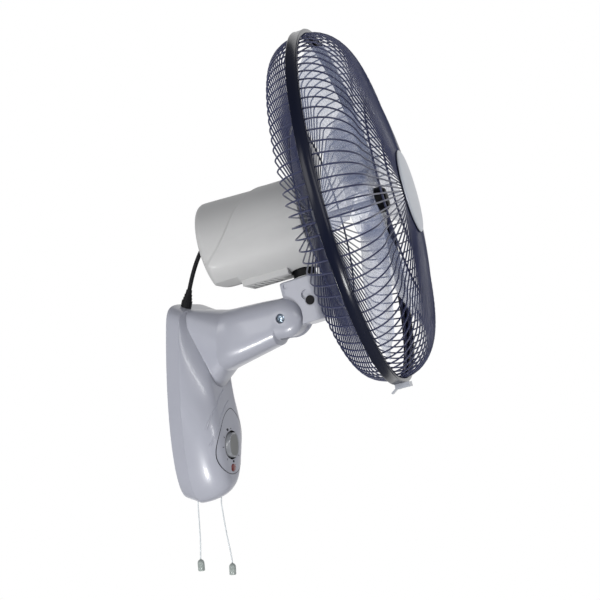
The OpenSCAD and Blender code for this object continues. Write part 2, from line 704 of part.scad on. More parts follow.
// Guards: radial wires bent over a shoulder, welded to round rings
front_turn = 60;
rear_turn = 26;
trim_t = 1.6;
frame_s = trim_w / 2 - trim_t - wire_d;
wire_r = guard_r - wire_d;
hub_ring_r = 40;
rear_hub_r = 44;
function front_s(r) = dome_s - (dome_s - shoulder_s) * pow(r / (wire_r - front_turn), 2);
function rear_s_at(r) = rear_mid_s - (rear_mid_s - rear_s) * r / (wire_r - rear_turn);
front_path = concat(
    [for (t = [0 : 18 : 90]) [wire_r - front_turn + front_turn * cos(t), frame_s + (shoulder_s - frame_s) * sin(t)]],
    [for (share = [0.75, 0.5, 0.25, 0]) let (r = mix(hub_ring_r, wire_r - front_turn, share)) [r, front_s(r)]]);
rear_path = concat(
    [for (t = [0 : 22.5 : 90]) [wire_r - rear_turn + rear_turn * cos(t), frame_s + (rear_s - frame_s) * sin(t)]],
    [for (share = [0.5, 0]) let (r = mix(rear_hub_r, wire_r - rear_turn, share)) [r, rear_s_at(r)]]);
function beside(path, d) = [for (i = [0 : len(path) - 1])
    let (a = path[max(0, i - 1)], b = path[min(len(path) - 1, i + 1)], v = (b - a) / norm(b - a))
    path[i] + d * [v[1], -v[0]]];
function reversed(list) = [for (i = [len(list) - 1 : -1 : 0]) list[i]];
module wires(path) {
    for (i = [0 : wire_count - 1]) rotate([0, 0, 360 * i / wire_count])
        rotate([90, 0, 0]) translate([0, 0, -wire_d / 2]) linear_extrude(height = wire_d)
            polygon(concat(beside(path, wire_d / 2), reversed(beside(path, -wire_d / 2))));
}
module wire_ring(r, s, thick) { rotate_extrude($fn = 120) translate([r, s]) circle(d = thick, $fn = 8); }
module front_guard() {
    color(navy) fan_frame() {
        wires(front_path);
        wire_ring(guard_r, frame_s, wire_d * 2);
        wire_ring(hub_ring_r, front_s(hub_ring_r), wire_d * 2);
        for (share = [0.4, 0.75]) let (r = mix(hub_ring_r, guard_r - front_turn, share))
            wire_ring(r, front_s(r) - wire_d, wire_d * 1.2);
    }
}
// The rear guard's hub is a plate with holes that the guard nut clamps on the motor
hub_s_back = -front_face - step_l;
hub_t = 2;
hub_hole_r = 8.5;
hub_hole_at = 31;
hub_hole_n = 8;
module rear_guard() {
    color(navy) fan_frame() mirror([0, 0, 1]) {
        wires(rear_path);
        wire_ring(guard_r, frame_s, wire_d * 2);
        difference() {
            ring_solid(rear_hub_r + wire_d, boss_r + gap, hub_s_back - hub_t, hub_s_back);
            for (i = [0 : hub_hole_n - 1]) rotate([0, 0, 360 * i / hub_hole_n]) translate([hub_hole_at, 0, hub_s_back - hub_t - over])
                cylinder(r = hub_hole_r, h = hub_t + 2 * over);
        }
        ring_solid(rear_hub_r + wire_d, rear_hub_r - wire_d, rear_s_at(rear_hub_r) - wire_d / 2, hub_s_back - hub_t / 2);
        let (r = (rear_hub_r + wire_r - rear_turn) / 2) wire_ring(r, rear_s_at(r) - wire_d, wire_d * 1.2);
    }
}
nut_r = 27;
nut_l = 11;
nut_rib_n = 12;
nut_rib_turn = 5;
nut_outline = [for (i = [0 : nut_rib_n - 1],
    p = [[nut_r, -nut_rib_turn], [nut_r + wire_d, -nut_rib_turn], [nut_r + wire_d, nut_rib_turn],
         [nut_r, nut_rib_turn], [nut_r, 180 / nut_rib_n]])
    p[0] * [cos(360 * i / nut_rib_n + p[1]), sin(360 * i / nut_rib_n + p[1])]];
module guard_nut() {
    color([0.75, 0.76, 0.8]) fan_frame() difference() {
        translate([0, 0, hub_t - hub_s_back]) linear_extrude(height = nut_l) polygon(nut_outline);
        translate([0, 0, hub_t - hub_s_back - over]) cylinder(r = boss_r + fit, h = nut_l + 2 * over);
    }
}

// Trim ring: a channel that closes over both frame rings
trim_lip = 4.6;
module trim_ring() {
    r_in = guard_r + wire_d + gap;
    color(navy) fan_frame() rotate_extrude($fn = 120) polygon([[r_in + trim_t - trim_lip, -trim_w / 2],
        [r_in + trim_t, -trim_w / 2], [r_in + trim_t, trim_w / 2], [r_in + trim_t - trim_lip, trim_w / 2],
        [r_in + trim_t - trim_lip, trim_w / 2 - trim_t], [r_in, trim_w / 2 - trim_t],
        [r_in, -trim_w / 2 + trim_t], [r_in + trim_t - trim_lip, -trim_w / 2 + trim_t]]);
}
cap_t = 4;
cap_edge = 2.2;
cap_droop = 0.8;
module front_cap() {
    color([0.85, 0.86, 0.88]) fan_frame() translate([0, 0, front_s(hub_ring_r) + wire_d]) rotate_extrude($fn = 96)
        polygon([[0, 0], [cap_d / 2 - 2 * cap_t, 0], [cap_d / 2 - cap_droop, -cap_droop], [cap_d / 2, 0],
            [cap_d / 2 - cap_droop, cap_edge / 2], [cap_d / 2 - cap_t, cap_edge], [cap_d / 4, cap_t - cap_droop / 2], [0, cap_t]]);
}
// Clip at the ring's bottom: a block seated on the ring and a lever on a pin
clip_w = 22;
clip_t = 7;
clip_back = -6;
clip_l = 18;
lever_w = 12;
lever_d = 4;
lever_l = 11;
lever_t = 1.8;
lever_open = 35;
pin_d = 2;
pin_over = 2;
module lever_place() {
    fan_frame() translate([0, -guard_r - clip_t, clip_back + lever_d / 2 + gap]) children();
}
module guard_clip() {
    r_out = guard_r + wire_d + gap + trim_t;
    color(cool_grey) difference() {
        fan_frame() difference() {
            translate([-clip_w / 2, -r_out - clip_t + over, clip_back]) cube([clip_w, clip_t, clip_l]);
            translate([0, 0, clip_back - over]) cylinder(r = r_out, h = clip_l + 2 * over, $fn = 240);
            translate([-lever_w / 2 - gap, -r_out - clip_t - over, clip_back - over])
                cube([lever_w + 2 * gap, 2 * clip_t, lever_d + 3 * gap + over]);
        }
        lever_place() along_x(-lever_w / 2 - pin_over - gap, 0, 0) cylinder(d = pin_d + 2 * fit, h = lever_w + 2 * pin_over + 2 * gap);
    }
}
module clip_lever() {
    color(cool_grey) lever_place() {
        along_x(-lever_w / 2, 0, 0) cylinder(d = lever_d, h = lever_w);
        along_x(-lever_w / 2 - pin_over, 0, 0) cylinder(d = pin_d, h = lever_w + 2 * pin_over);
        rotate([-lever_open, 0, 0]) translate([-lever_w / 2, -lever_t / 2, -lever_l]) cube([lever_w, lever_t, lever_l]);
    }
}

// Blade: broad pitched leaves on a hub
blade_r = guard_r - blade_gap;
blade_hub_r = 42;
root_chord = 66;
tip_chord = 150;
root_pitch = 34;
tip_pitch = 20;
leaf_sweep = 14;
leaf_sunk = 2;
hub_s = -1;
hub_l = 30;
hub_wall = 3;
leaf_lift = shoulder_s / 51;
function leaf_chord(share) = mix(root_chord, tip_chord, pow(sin(min(share * 125, 90)), 1.2)) * pow(max(1 - pow(share, 6), 0), 0.35);
function leaf_pitch(share) = mix(root_pitch, tip_pitch, share);
function leaf_mid(share) = leaf_sweep * share;
function leaf_point(share, u, side) =
    let (r = mix(blade_hub_r - leaf_sunk, blade_r, share), c = leaf_chord(min(share, 0.985)), a = leaf_mid(share) + u * c / r * 180 / PI)
    [r * cos(a), r * sin(a), hub_s + hub_l / 2 + side * blade_t / 2
        - leaf_lift * (u * c * sin(leaf_pitch(share)) + leaf_camber * (0.25 - u * u))];
leaf_camber = 14;
leaf_rows = 8;
leaf_cols = 6;
module leaf() {
    top = [for (i = [0 : leaf_rows]) [for (j = [0 : leaf_cols]) leaf_point(i / leaf_rows, j / leaf_cols - 0.5, 1)]];
    low = [for (i = [0 : leaf_rows]) [for (j = [0 : leaf_cols]) leaf_point(i / leaf_rows, j / leaf_cols - 0.5, -1)]];
    rings = [for (i = [0 : leaf_rows]) concat(top[i], reversed(low[i]))];
    skin(rings, middle(rings[0]), middle(rings[leaf_rows]));
}
module blade() {
    color(clear_blue) fan_frame() difference() {
        union() {
            for (i = [0 : blade_count - 1]) rotate([0, 0, 90 + 360 * i / blade_count]) leaf();
            translate([0, 0, hub_s]) cylinder(r = blade_hub_r, h = hub_l);
        }
        translate([0, 0, hub_s - over]) difference() {
            cylinder(r = blade_hub_r - hub_wall, h = hub_l - hub_wall + over);
            cylinder(r = shaft_d, h = hub_l);
        }
        translate([0, 0, hub_s - over]) cylinder(d = shaft_d + 2 * fit, h = hub_l + 2 * over);
    }
}
spin_r = 16;
spin_l = 14;
spin_skirt = 8;
shaft_proud = shaft_front - hub_s - hub_l;
module spinner() {
    color(black) fan_frame() translate([0, 0, hub_s + hub_l]) rotate_extrude($fn = 64)
        polygon([[0, shaft_proud + gap], [shaft_d / 2 + fit, shaft_proud + gap], [shaft_d / 2 + fit, 0], [spin_r, 0],
            [spin_r, spin_skirt], [spin_r * 0.75, spin_l - over], [0, spin_l]]);
}

// Pull cords and their switches on the rear shell's back. Each cord follows its route
// from the switch to the bell, where it hangs a little askew.
speed_route = [[-11, -21, -99], [-11, -21, -114], [-11, -21, -128], [-11, -21.3, -133], [-11, -21.7, -138],
    [-11, -22.1, -143], [-11, -22.5, -148], [-11, -22.9, -153], [-11, -23.3, -158], [-11, -23.7, -163],
    [-11, -24.1, -168], [-11, -24.4, -173], [-11, -24.6, -178], [-11, -24.7, -183], [-11, -24.8, -188],
    [-11, -24.8, -193], [-11, -24.8, -198], [-11, -25.3, -203]];
swing_route = [[11, -43, -99], [11, -43, -114], [11, -43, -128], [11, -43.8, -133], [11, -44.7, -138],
    [11, -45.6, -143], [11, -46.6, -148], [11, -47.6, -153], [11, -48.6, -158], [11, -49.7, -163],
    [11, -50.8, -168], [11, -52, -173], [11, -53.2, -178], [11, -54.5, -183], [11, -55.8, -188],
    [11, -57, -193], [11, -58.2, -198], [11, -59.1, -203], [11, -59.4, -209]];
cord_sides = 8;
switch_w = 14;
switch_h = 20;
switch_lift = 5;
cord_in = 6;
cord_gap = 1;
function route_way(route, i) =
    unit(route[min(i + 1, len(route) - 1)] - route[max(i - 1, 0)]);
function cord_ring(route, i) = let (way = route_way(route, i), side = [1, 0, 0], out = cross(side, way))
    [for (k = [0 : cord_sides - 1]) let (a = 360 * k / cord_sides)
        route[i] + cord_d / 2 * (cos(a) * side + sin(a) * out)];
module cord(route) {
    last = len(route) - 1;
    color("white") skin([for (i = [0 : last]) cord_ring(route, i)], route[0], route[last]);
}
module cord_hole(route) {
    translate([route[0][0], route[0][1], -base_h / 2 - over])
        cylinder(d = cord_d + 2 * cord_gap, h = draft + wall + switch_lift + 2 * over);
}
module pull_switch(route) {
    top = route[0] + [0, 0, switch_h - cord_in];
    translate([top[0] - switch_w / 2, top[1] - switch_w / 2, top[2] - switch_h])
        cube([switch_w, -wall - top[1] + switch_w / 2, switch_h]);
}
module pull_switches() {
    color(black) difference() {
        for (route = [speed_route, swing_route]) pull_switch(route);
        for (route = [speed_route, swing_route]) translate(route[0] - [0, 0, cord_in + over])
            cylinder(d = cord_d + 2 * fit, h = cord_in + 2 * over);
    }
}
bell_neck = 4;
bell_bevel = 1;
module bell(route) {
    last = route[len(route) - 1];
    end = last - route[len(route) - 2];
    color([0.6, 0.63, 0.6]) translate(last) rotate([atan2(end[1], -end[2]), 0, 0]) translate([0, 0, bell_neck - bell_l])
        rotate_extrude() polygon([[0, 0], [bell_d / 2 - bell_bevel, 0], [bell_d / 2, bell_bevel],
            [bell_d / 2, bell_l * 0.6], [bell_d * 0.42, bell_l * 0.8], [bell_d * 0.3, bell_l * 0.93],
            [cord_d / 2 + bell_bevel, bell_l], [cord_d / 2, bell_l], [cord_d / 2, bell_l - bell_neck],
            [0, bell_l - bell_neck]]);
}
module speed_cord() { cord(speed_route); }
module speed_bell() { bell(speed_route); }
module swing_cord() { cord(swing_route); }
module swing_bell() { bell(swing_route); }
cap_w = 44;
cap_h = 26;
cap_deep = 14;
cap_rise = 138;
module capacitor() {
    color(black) translate([-cap_w / 2, -wall - cap_deep, -base_h / 2 + cap_rise]) cube([cap_w, cap_deep, cap_h]);
}

// Motor lead between the base's top and the housing's back
lead_d = 5.6;
lead_foot = base_h / 2 - 8;
lead_sides = 10;
lead_rows = 14;
function lead_cone(s) = [[0, 0], [lead_hole_d / 2, 0], [lead_hole_d / 2, s * 0.48], [lead_hole_d * 0.42, s * 0.48],
    [lead_hole_d * 0.42, s * 0.62], [lead_hole_d * 0.36, s * 0.62], [lead_hole_d * 0.36, s * 0.78],
    [lead_hole_d * 0.3, s * 0.78], [lead_hole_d * 0.27, s], [0, s]];
grommet_l = 27;
module lead_place() { translate(lead_from) rotate([0, lead_lean, lead_head]) children(); }
module base_grommet() {
    color(black) lead_place() difference() {
        rotate_extrude() polygon(lead_cone(grommet_l));
        translate([0, 0, -over]) cylinder(d = lead_d + 2 * fit, h = grommet_l + 2 * over);
    }
}
grommet_y = 17;
grommet_d = 12;
grommet_lip = 1.6;
boot_d = 10;
boot_l = 16;
boot_angle = 48;
module motor_grommet() {
    color(black) fan_frame() translate([0, grommet_y, back_s]) difference() {
        union() {
            difference() {
                rotate([-boot_angle, 0, 0]) rotate([180, 0, 0]) cylinder(d = boot_d, h = boot_l);
                translate([-boot_l, -boot_l, 0]) cube([2 * boot_l, 2 * boot_l, boot_l]);
            }
            translate([0, 0, -grommet_lip]) cylinder(d = grommet_d + 2 * grommet_lip, h = grommet_lip);
            translate([0, 0, -grommet_lip]) cylinder(d = grommet_d - 2 * fit, h = grommet_lip + housing_wall);
        }
        rotate([-boot_angle, 0, 0]) translate([0, 0, -boot_l - over]) cylinder(d = lead_d + 2 * fit, h = boot_l + over);
    }
}
// The lead is a bent tube along a smooth curve from the base to the boot
function turn_x(a, p) = [p[0], p[1] * cos(a) + p[2] * sin(a), -p[1] * sin(a) + p[2] * cos(a)];
function turn_z(a, p) = [p[0] * cos(a) - p[1] * sin(a), p[0] * sin(a) + p[1] * cos(a), p[2]];
function fan_way(p) = turn_x(rest_tilt, turn_z(rest_pan, [p[0], -p[2], p[1]]));
function fan_point(p) = [0, -pivot_y, pivot_z] + turn_x(rest_tilt, [0, -pan_ahead, axis_rise])
    + fan_way([p[0], p[1], p[2] + ring_ahead]);
boot_way = [0, sin(boot_angle), cos(boot_angle)];
lead_from = [lead_x, lead_y, lead_foot];
lead_to = fan_point([0, grommet_y, back_s] - boot_way * boot_l / 2);
lead_lean = 12;
lead_head = atan2(lead_to[1] - lead_y, lead_to[0] - lead_x);
lead_way = [sin(lead_lean) * cos(lead_head), sin(lead_lean) * sin(lead_head), cos(lead_lean)];
lead_mouth = lead_from + (grommet_l + over) * lead_way;
boot_mouth = fan_point([0, grommet_y, back_s] - boot_way * (boot_l + over));
lead_start = 24;
lead_end = 14;
lead_knots = [lead_mouth, lead_mouth + lead_start * lead_way, boot_mouth - lead_end * fan_way(boot_way), boot_mouth];
function lead_at(t) = pow(1 - t, 3) * lead_knots[0] + 3 * t * pow(1 - t, 2) * lead_knots[1]
    + 3 * t * t * (1 - t) * lead_knots[2] + pow(t, 3) * lead_knots[3];
function lead_slope(t) = pow(1 - t, 2) * (lead_knots[1] - lead_knots[0])
    + 2 * t * (1 - t) * (lead_knots[2] - lead_knots[1]) + t * t * (lead_knots[3] - lead_knots[2]);
function unit(v) = v / norm(v);
function lead_ring(centre, t) = let (way = unit(lead_slope(t)), side = unit(cross(way, [0, 1, 0])), out = cross(side, way))
    [for (i = [0 : lead_sides - 1]) let (a = 360 * i / lead_sides)
        centre + lead_d / 2 * (cos(a) * side + sin(a) * out)];
// The lead is straight in the grommet and in the boot
module motor_lead() {
    color(black) skin(concat([lead_ring(lead_from, 0)],
        [for (i = [0 : lead_rows]) lead_ring(lead_at(i / lead_rows), i / lead_rows)],
        [lead_ring(lead_to, 1)]), lead_from, lead_to);
}

rear_shell();
front_cover();
screw_posts();
arm();
control_panel();
panel_frame();
knob_cup();
speed_knob();
speed_switch();
indicator_lens();
tilt_bolt();
tilt_nut();
neck_bracket();
side_plug();
pan_lock_screw();
pan_washer();
pan_shaft();
swing_gearbox();
motor_housing();
rear_end_shield();
front_end_shield();
stator_core();
stator_windings();
rear_bush();
front_bush();
motor_shaft();
rotor_core();
rear_guard();
guard_nut();
trim_ring();
front_guard();
front_cap();
guard_clip();
clip_lever();
blade();
spinner();
pull_switches();
speed_cord();
speed_bell();
swing_cord();
swing_bell();
capacitor();
base_grommet();
motor_grommet();
motor_lead();
cover_screws();
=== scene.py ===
"""Wall mounted fan: looks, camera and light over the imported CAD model. Lengths in mm until a mesh is made."""
import math

import bpy
from mathutils import Matrix, Vector


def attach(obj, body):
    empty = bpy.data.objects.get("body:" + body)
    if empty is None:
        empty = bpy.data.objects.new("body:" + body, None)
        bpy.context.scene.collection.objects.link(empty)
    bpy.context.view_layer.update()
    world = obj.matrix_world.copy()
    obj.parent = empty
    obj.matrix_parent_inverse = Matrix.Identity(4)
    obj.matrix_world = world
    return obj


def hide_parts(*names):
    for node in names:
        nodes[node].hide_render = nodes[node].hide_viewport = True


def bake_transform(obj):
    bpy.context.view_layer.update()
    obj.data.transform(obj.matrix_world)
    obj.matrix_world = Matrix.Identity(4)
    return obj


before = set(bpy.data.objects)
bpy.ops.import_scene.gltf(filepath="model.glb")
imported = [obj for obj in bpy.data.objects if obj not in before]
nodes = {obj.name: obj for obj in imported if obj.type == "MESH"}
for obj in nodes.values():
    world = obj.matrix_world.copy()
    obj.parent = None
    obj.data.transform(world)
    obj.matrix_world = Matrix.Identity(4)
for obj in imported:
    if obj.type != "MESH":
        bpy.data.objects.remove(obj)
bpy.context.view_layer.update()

MM = 0.001
SQUARE = ((-1, -1), (1, -1), (1, 1), (-1, 1))

# The main sizes of part.scad, in mm and degrees
BASE_H, BASE_W, REAR_D, FRONT_D, TOP_D, DRAFT, WALL = 257, 122, 22, 65, 28.5, 5, 2.5
PIVOT_Y, PIVOT_Z, PAN_AHEAD, AXIS_RISE, RING_AHEAD = 146, 111, 36, 110, 82
TILT, PAN = math.radians(15.6), math.radians(11.3)
FORK_W, FORK_R, LUG_W, LUG_R, GAP = 51, 26.5, 27, 23, 0.3
GUARD_R, TRIM_W, TRIM_T, WIRES, WIRE_D = 220, 14, 1.6, 96, 2
SHOULDER_S, DOME_S, REAR_S, REAR_MID_S = 51, 70, 40, 50
BLADE_R, LEAVES, BLADE_T = 200, 5, 2


# Sums, angles and frames

def mix(a, b, share):
    return a + (b - a) * share


def smooth(value):
    t = min(max(value, 0), 1)
    return t * t * (3 - 2 * t)


def round_turns(steps):
    """Angles all the way round, in equal steps."""
    return [2 * math.pi * k / steps for k in range(steps)]


def quarter_turns(steps):
    """Angles over a quarter of a turn, with both ends."""
    return [math.pi / 2 * k / steps for k in range(steps + 1)]


def corner_steps(r, steps):
    """Steps round an edge: how far in from the side and from the end."""
    return [(r * (1 - math.sin(t)), r * (1 - math.cos(t))) for t in quarter_turns(steps)]


def middle(ring):
    return [sum(p[axis] for p in ring) / len(ring) for axis in range(len(ring[0]))]


def oval(x, z, a, b, steps=96):
    """Places round an oval."""
    return [(x + a * math.cos(t), z + b * math.sin(t)) for t in round_turns(steps)]


def tilt_way(p):
    c, s = math.cos(TILT), math.sin(TILT)
    return Vector((p[0], p[1] * c + p[2] * s, -p[1] * s + p[2] * c))


def pan_way(p):
    c, s = math.cos(PAN), math.sin(PAN)
    return Vector((p[0] * c - p[1] * s, p[0] * s + p[1] * c, p[2]))


def neck_point(x, y, z):
    return Vector((0, -PIVOT_Y, PIVOT_Z)) + tilt_way((x, y, z))


def fan_way(x, y, s):
    return tilt_way(pan_way((x, -s, y)))


def fan_point(x, y, s):
    return neck_point(0, -PAN_AHEAD, AXIS_RISE) + fan_way(x, y, s + RING_AHEAD)


def fan_turn(r, a, s):
    """Place by the distance from the fan's axis, the angle and the place along the axis."""
    return fan_point(r * math.cos(a), r * math.sin(a), s)


# Camera

VIEW_TURN, VIEW_FAR, VIEW_LENS, VIEW_FILM = math.radians(25.5), 1500, 72.96, 36
# The picture's middle is this far left of and below the guard's middle
AIM_LEFT, AIM_LOW = 67.8, 114.3
VIEW_RIGHT = Vector((math.sin(VIEW_TURN), -math.cos(VIEW_TURN), 0))
VIEW_AHEAD = Vector((math.cos(VIEW_TURN), math.sin(VIEW_TURN), 0))
target = fan_point(0, 0, 0) - AIM_LEFT * VIEW_RIGHT - AIM_LOW * Vector((0, 0, 1))
camera_data = bpy.data.cameras.new("camera")
camera_data.lens, camera_data.sensor_width = VIEW_LENS, VIEW_FILM
camera = bpy.data.objects.new("camera", camera_data)
camera.location = (target - VIEW_FAR * VIEW_AHEAD) * MM
camera.rotation_euler = (math.radians(90), 0, VIEW_TURN - math.radians(90))
bpy.context.scene.collection.objects.link(camera)
bpy.context.scene.camera = camera


# Materials

def set_inputs(node, **values):
    """Values of a node's inputs, whose names have _ for each space."""
    for name, value in values.items():
        node.inputs[name.replace("_", " ")].default_value = value
    return node


def add_node(tree, kind, **values):
    return set_inputs(tree.nodes.new("ShaderNode" + kind), **values)


def link(tree, source, output, node, name):
    tree.links.new(source.outputs[output], node.inputs[name])


def new_shader(name, **values):
    """A material, its node tree and its Principled shader."""
    m = bpy.data.materials.new(name)
    m.use_nodes = True
    return m, m.node_tree, set_inputs(m.node_tree.nodes["Principled BSDF"], **values)


def clamped_sum(tree, first, second):
    """A node, and its output's name, that adds two of these and keeps the sum from 0 to 1."""
    total = add_node(tree, "Math")
    total.operation, total.use_clamp = "ADD", True
    link(tree, *first, total, 0)
    link(tree, *second, total, 1)
    return total, "Value"


def add_bump(tree, shader, source, output, strength, distance):
    lift = add_node(tree, "Bump", Strength=strength, Distance=distance)
    link(tree, source, output, lift, "Height")
    link(tree, lift, "Normal", shader, "Normal")


COAT_ROUGH, CLOUD_SCALE, CLOUD_DETAIL = 0.06, 38.0, 4.0
ROUGH_LEAST, ROUGH_LESS, ROUGH_MORE, TONE_LOW, TONE_HIGH = 0.02, 0.03, 0.04, 0.97, 1.03


def new_material(name, colour, rough, metal=0.0, coat=0.0, bump=0.0, bump_scale=900.0, shine=0.5):
    """A Principled finish with a little procedural unevenness in its colour, roughness and surface."""
    m, tree, shader = new_shader(name, Metallic=metal, Coat_Weight=coat, Specular_IOR_Level=shine,
                                 Coat_Roughness=COAT_ROUGH)
    place = add_node(tree, "TexCoord")
    noise = add_node(tree, "TexNoise", Scale=CLOUD_SCALE, Detail=CLOUD_DETAIL)
    link(tree, place, "Object", noise, "Vector")
    ramp = add_node(tree, "MapRange", To_Min=max(rough - ROUGH_LESS, ROUGH_LEAST), To_Max=rough + ROUGH_MORE)
    link(tree, noise, "Fac", ramp, "Value")
    link(tree, ramp, "Result", shader, "Roughness")
    tone = add_node(tree, "Mix")
    tone.data_type = "RGBA"
    set_inputs(tone, A=(*[c * TONE_LOW for c in colour], 1), B=(*[min(c * TONE_HIGH, 1) for c in colour], 1))
    link(tree, noise, "Fac", tone, "Factor")
    link(tree, tone, "Result", shader, "Base Color")
    if bump:
        fine = add_node(tree, "TexNoise", Scale=bump_scale)
        link(tree, place, "Object", fine, "Vector")
        add_bump(tree, shader, fine, "Fac", bump, 0.0003)
    return m


def clear_material(name, colour, clear, dense):
    """Tinted clear plastic, denser where it is seen edge on, with a stippled moulding."""
    m, tree, shader = new_shader(name, Base_Color=(*colour, 1), Roughness=0.12, IOR=1.5)
    place = add_node(tree, "TexCoord")
    cells = add_node(tree, "TexVoronoi", Scale=260.0)
    link(tree, place, "Object", cells, "Vector")
    dots = add_node(tree, "MapRange", From_Min=0.25, From_Max=0.6, To_Min=0.0, To_Max=0.12)
    link(tree, cells, "Distance", dots, "Value")
    edge = add_node(tree, "LayerWeight", Blend=0.35)
    body = add_node(tree, "MapRange", To_Min=clear, To_Max=dense)
    link(tree, edge, "Facing", body, "Value")
    link(tree, *clamped_sum(tree, (body, "Result"), (dots, "Result")), shader, "Alpha")
    add_bump(tree, shader, cells, "Distance", 0.4, 0.0004)
    return m


COVER = new_material("cover", (0.40, 0.41, 0.465), 0.30, coat=0.2, bump=0.04)
HOUSING = new_material("housing", (0.51, 0.51, 0.505), 0.5, coat=0.05, bump=0.04)
NAVY = new_material("guard navy", (0.032, 0.038, 0.095), 0.34, coat=0.2, bump=0.05)
RING = new_material("ring navy", (0.004, 0.006, 0.018), 0.2, shine=0.25)
SILVER = new_material("cap silver", (0.60, 0.63, 0.68), 0.38, metal=0.25, bump=0.05)
CLIP = new_material("clip", (0.42, 0.44, 0.49), 0.3, coat=0.2, bump=0.05)
CHROME = new_material("chrome", (0.42, 0.50, 0.58), 0.16, metal=1.0)
STEEL = new_material("steel", (0.55, 0.55, 0.57), 0.3, metal=1.0, bump=0.1)
CAST = new_material("cast metal", (0.55, 0.56, 0.58), 0.5, metal=0.8, bump=0.3, bump_scale=500)
RUBBER = new_material("rubber", (0.006, 0.006, 0.008), 0.5, bump=0.12, shine=0.25)
# Black plastic of the plug, spinner, switches and capacitor, also used as painted shade in the dial's cup and
# round the pan shaft
BLACK_AND_SHADE = new_material("black plastic and painted shade", (0.004, 0.004, 0.005), 0.45, bump=0.08, shine=0.2)
KNOB = new_material("knob", (0.26, 0.27, 0.29), 0.22, coat=0.5)
# The knob's finish made darker, as painted shade on the grip's sunk top
KNOB_TOP_SHADE = new_material("knob top in painted shade", (0.15, 0.155, 0.15), 0.3, coat=0.3)
LENS = new_material("lens", (0.17, 0.010, 0.006), 0.2, coat=0.3)
IRON = new_material("laminated iron", (0.24, 0.24, 0.26), 0.45, metal=0.9, bump=0.3, bump_scale=1600)
COPPER = new_material("copper", (0.5, 0.22, 0.1), 0.3, metal=1.0, bump=0.5, bump_scale=700)
BRONZE = new_material("bronze", (0.4, 0.26, 0.13), 0.45, metal=1.0, bump=0.2)
WHITE = new_material("white plastic", (0.75, 0.75, 0.73), 0.4, bump=0.05)
CORD = new_material("cord", (0.62, 0.66, 0.68), 0.55, bump=0.3, bump_scale=1500)
BELL = new_material("bell", (0.33, 0.37, 0.35), 0.25, coat=0.3, bump=0.05)
# Dark print for the dial's dots and ticks, also used as the painted shade in the joint round the panel
PRINT_AND_SHADE = new_material("print and painted shade", (0.02, 0.021, 0.028), 0.5, shine=0.3)
CLEAR = clear_material("clear blade", (0.50, 0.56, 0.76), 0.10, 0.46)


def paint(material, names):
    for name in names.split():
        slots = nodes[name].data.materials
        slots.clear()
        slots.append(material)


paint(COVER, "rear_shell front_cover screw_posts arm control_panel panel_frame knob_cup neck_bracket")
paint(HOUSING, "motor_housing")
paint(NAVY, "rear_guard front_guard")
paint(RING, "trim_ring")
paint(SILVER, "front_cap")
paint(CLIP, "guard_clip clip_lever guard_nut")
paint(CHROME, "tilt_bolt tilt_nut")
paint(STEEL, "pan_lock_screw pan_shaft motor_shaft cover_screws")
paint(CAST, "swing_gearbox rear_end_shield front_end_shield")
paint(RUBBER, "base_grommet motor_grommet motor_lead")
paint(BLACK_AND_SHADE, "side_plug spinner pull_switches capacitor speed_switch")
paint(KNOB, "speed_knob")
paint(LENS, "indicator_lens")
paint(IRON, "stator_core rotor_core")
paint(COPPER, "stator_windings")
paint(BRONZE, "rear_bush front_bush")
paint(WHITE, "pan_washer")
paint(CORD, "speed_cord swing_cord")
paint(BELL, "speed_bell swing_bell")
paint(CLEAR, "blade")


# Meshes

def make_object(name, points, faces, material, smooth=True):
    mesh = bpy.data.meshes.new(name)
    mesh.from_pydata([tuple(Vector(p) * MM) for p in points], [], faces)
    mesh.materials.append(material)
    if smooth:
        mesh.shade_smooth()
    mesh.validate()
    mesh.update()
    piece = bpy.data.objects.new(name, mesh)
    bpy.context.scene.collection.objects.link(piece)
    return piece


def settle(piece, body, slot, *replaced):
    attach(piece, body)
    if replaced:
        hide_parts(*replaced)
    return piece


def ring_faces(rows, count, closed=False):
    """Faces between rings of equal counts, and from the last one to the first where they close."""
    faces = []
    for row in range(rows if closed else rows - 1):
        a, b = row * count, (row + 1) % rows * count
        for i in range(count):
            j = (i + 1) % count
            faces.append((a + i, a + j, b + j, b + i))
    return faces


def skin(rings, first=None, last=None):
    """Points and faces of a closed skin through rings of equal counts, fanned to a point at each end."""
    count = len(rings[0])
    points = [p for ring in rings for p in ring]
    faces = ring_faces(len(rings), count)
    for end, row, flip in ((first, 0, True), (last, len(rings) - 1, False)):
        if end is not None:
            points.append(end)
            top, base = len(points) - 1, row * count
            for i in range(count):
                j = (i + 1) % count
                faces.append((top, base + j, base + i) if flip else (top, base + i, base + j))
    return points, faces


def capped(rings):
    """A skin with an end over the middle of its first ring and of its last."""
    return skin(rings, middle(rings[0]), middle(rings[-1]))


def tube(path, radius, sides=8, closed=False):
    """Points and faces of a round tube along a path."""
    path = [Vector(p) for p in path]
    count = len(path)
    rings = []
    normal = None
    for i, p in enumerate(path):
        before = path[(i - 1) % count] if closed or i else p
        after = path[(i + 1) % count] if closed or i < count - 1 else p
        way = (after - before).normalized()
        if normal is None:
            normal = way.orthogonal().normalized()
        normal = (normal - way * normal.dot(way)).normalized()
        side = way.cross(normal)
        rings.append([p + radius * (math.cos(a) * normal + math.sin(a) * side) for a in round_turns(sides)])
    points = [p for ring in rings for p in ring]
    faces = ring_faces(count, sides, closed)
    if not closed:
        faces.append(tuple(range(sides))[::-1])
        faces.append(tuple((count - 1) * sides + k for k in range(sides)))
    return points, faces


def merge(shapes):
    points, faces = [], []
    for some_points, some_faces in shapes:
        base = len(points)
        points += some_points
        faces += [tuple(base + k for k in face) for face in some_faces]
    return points, faces


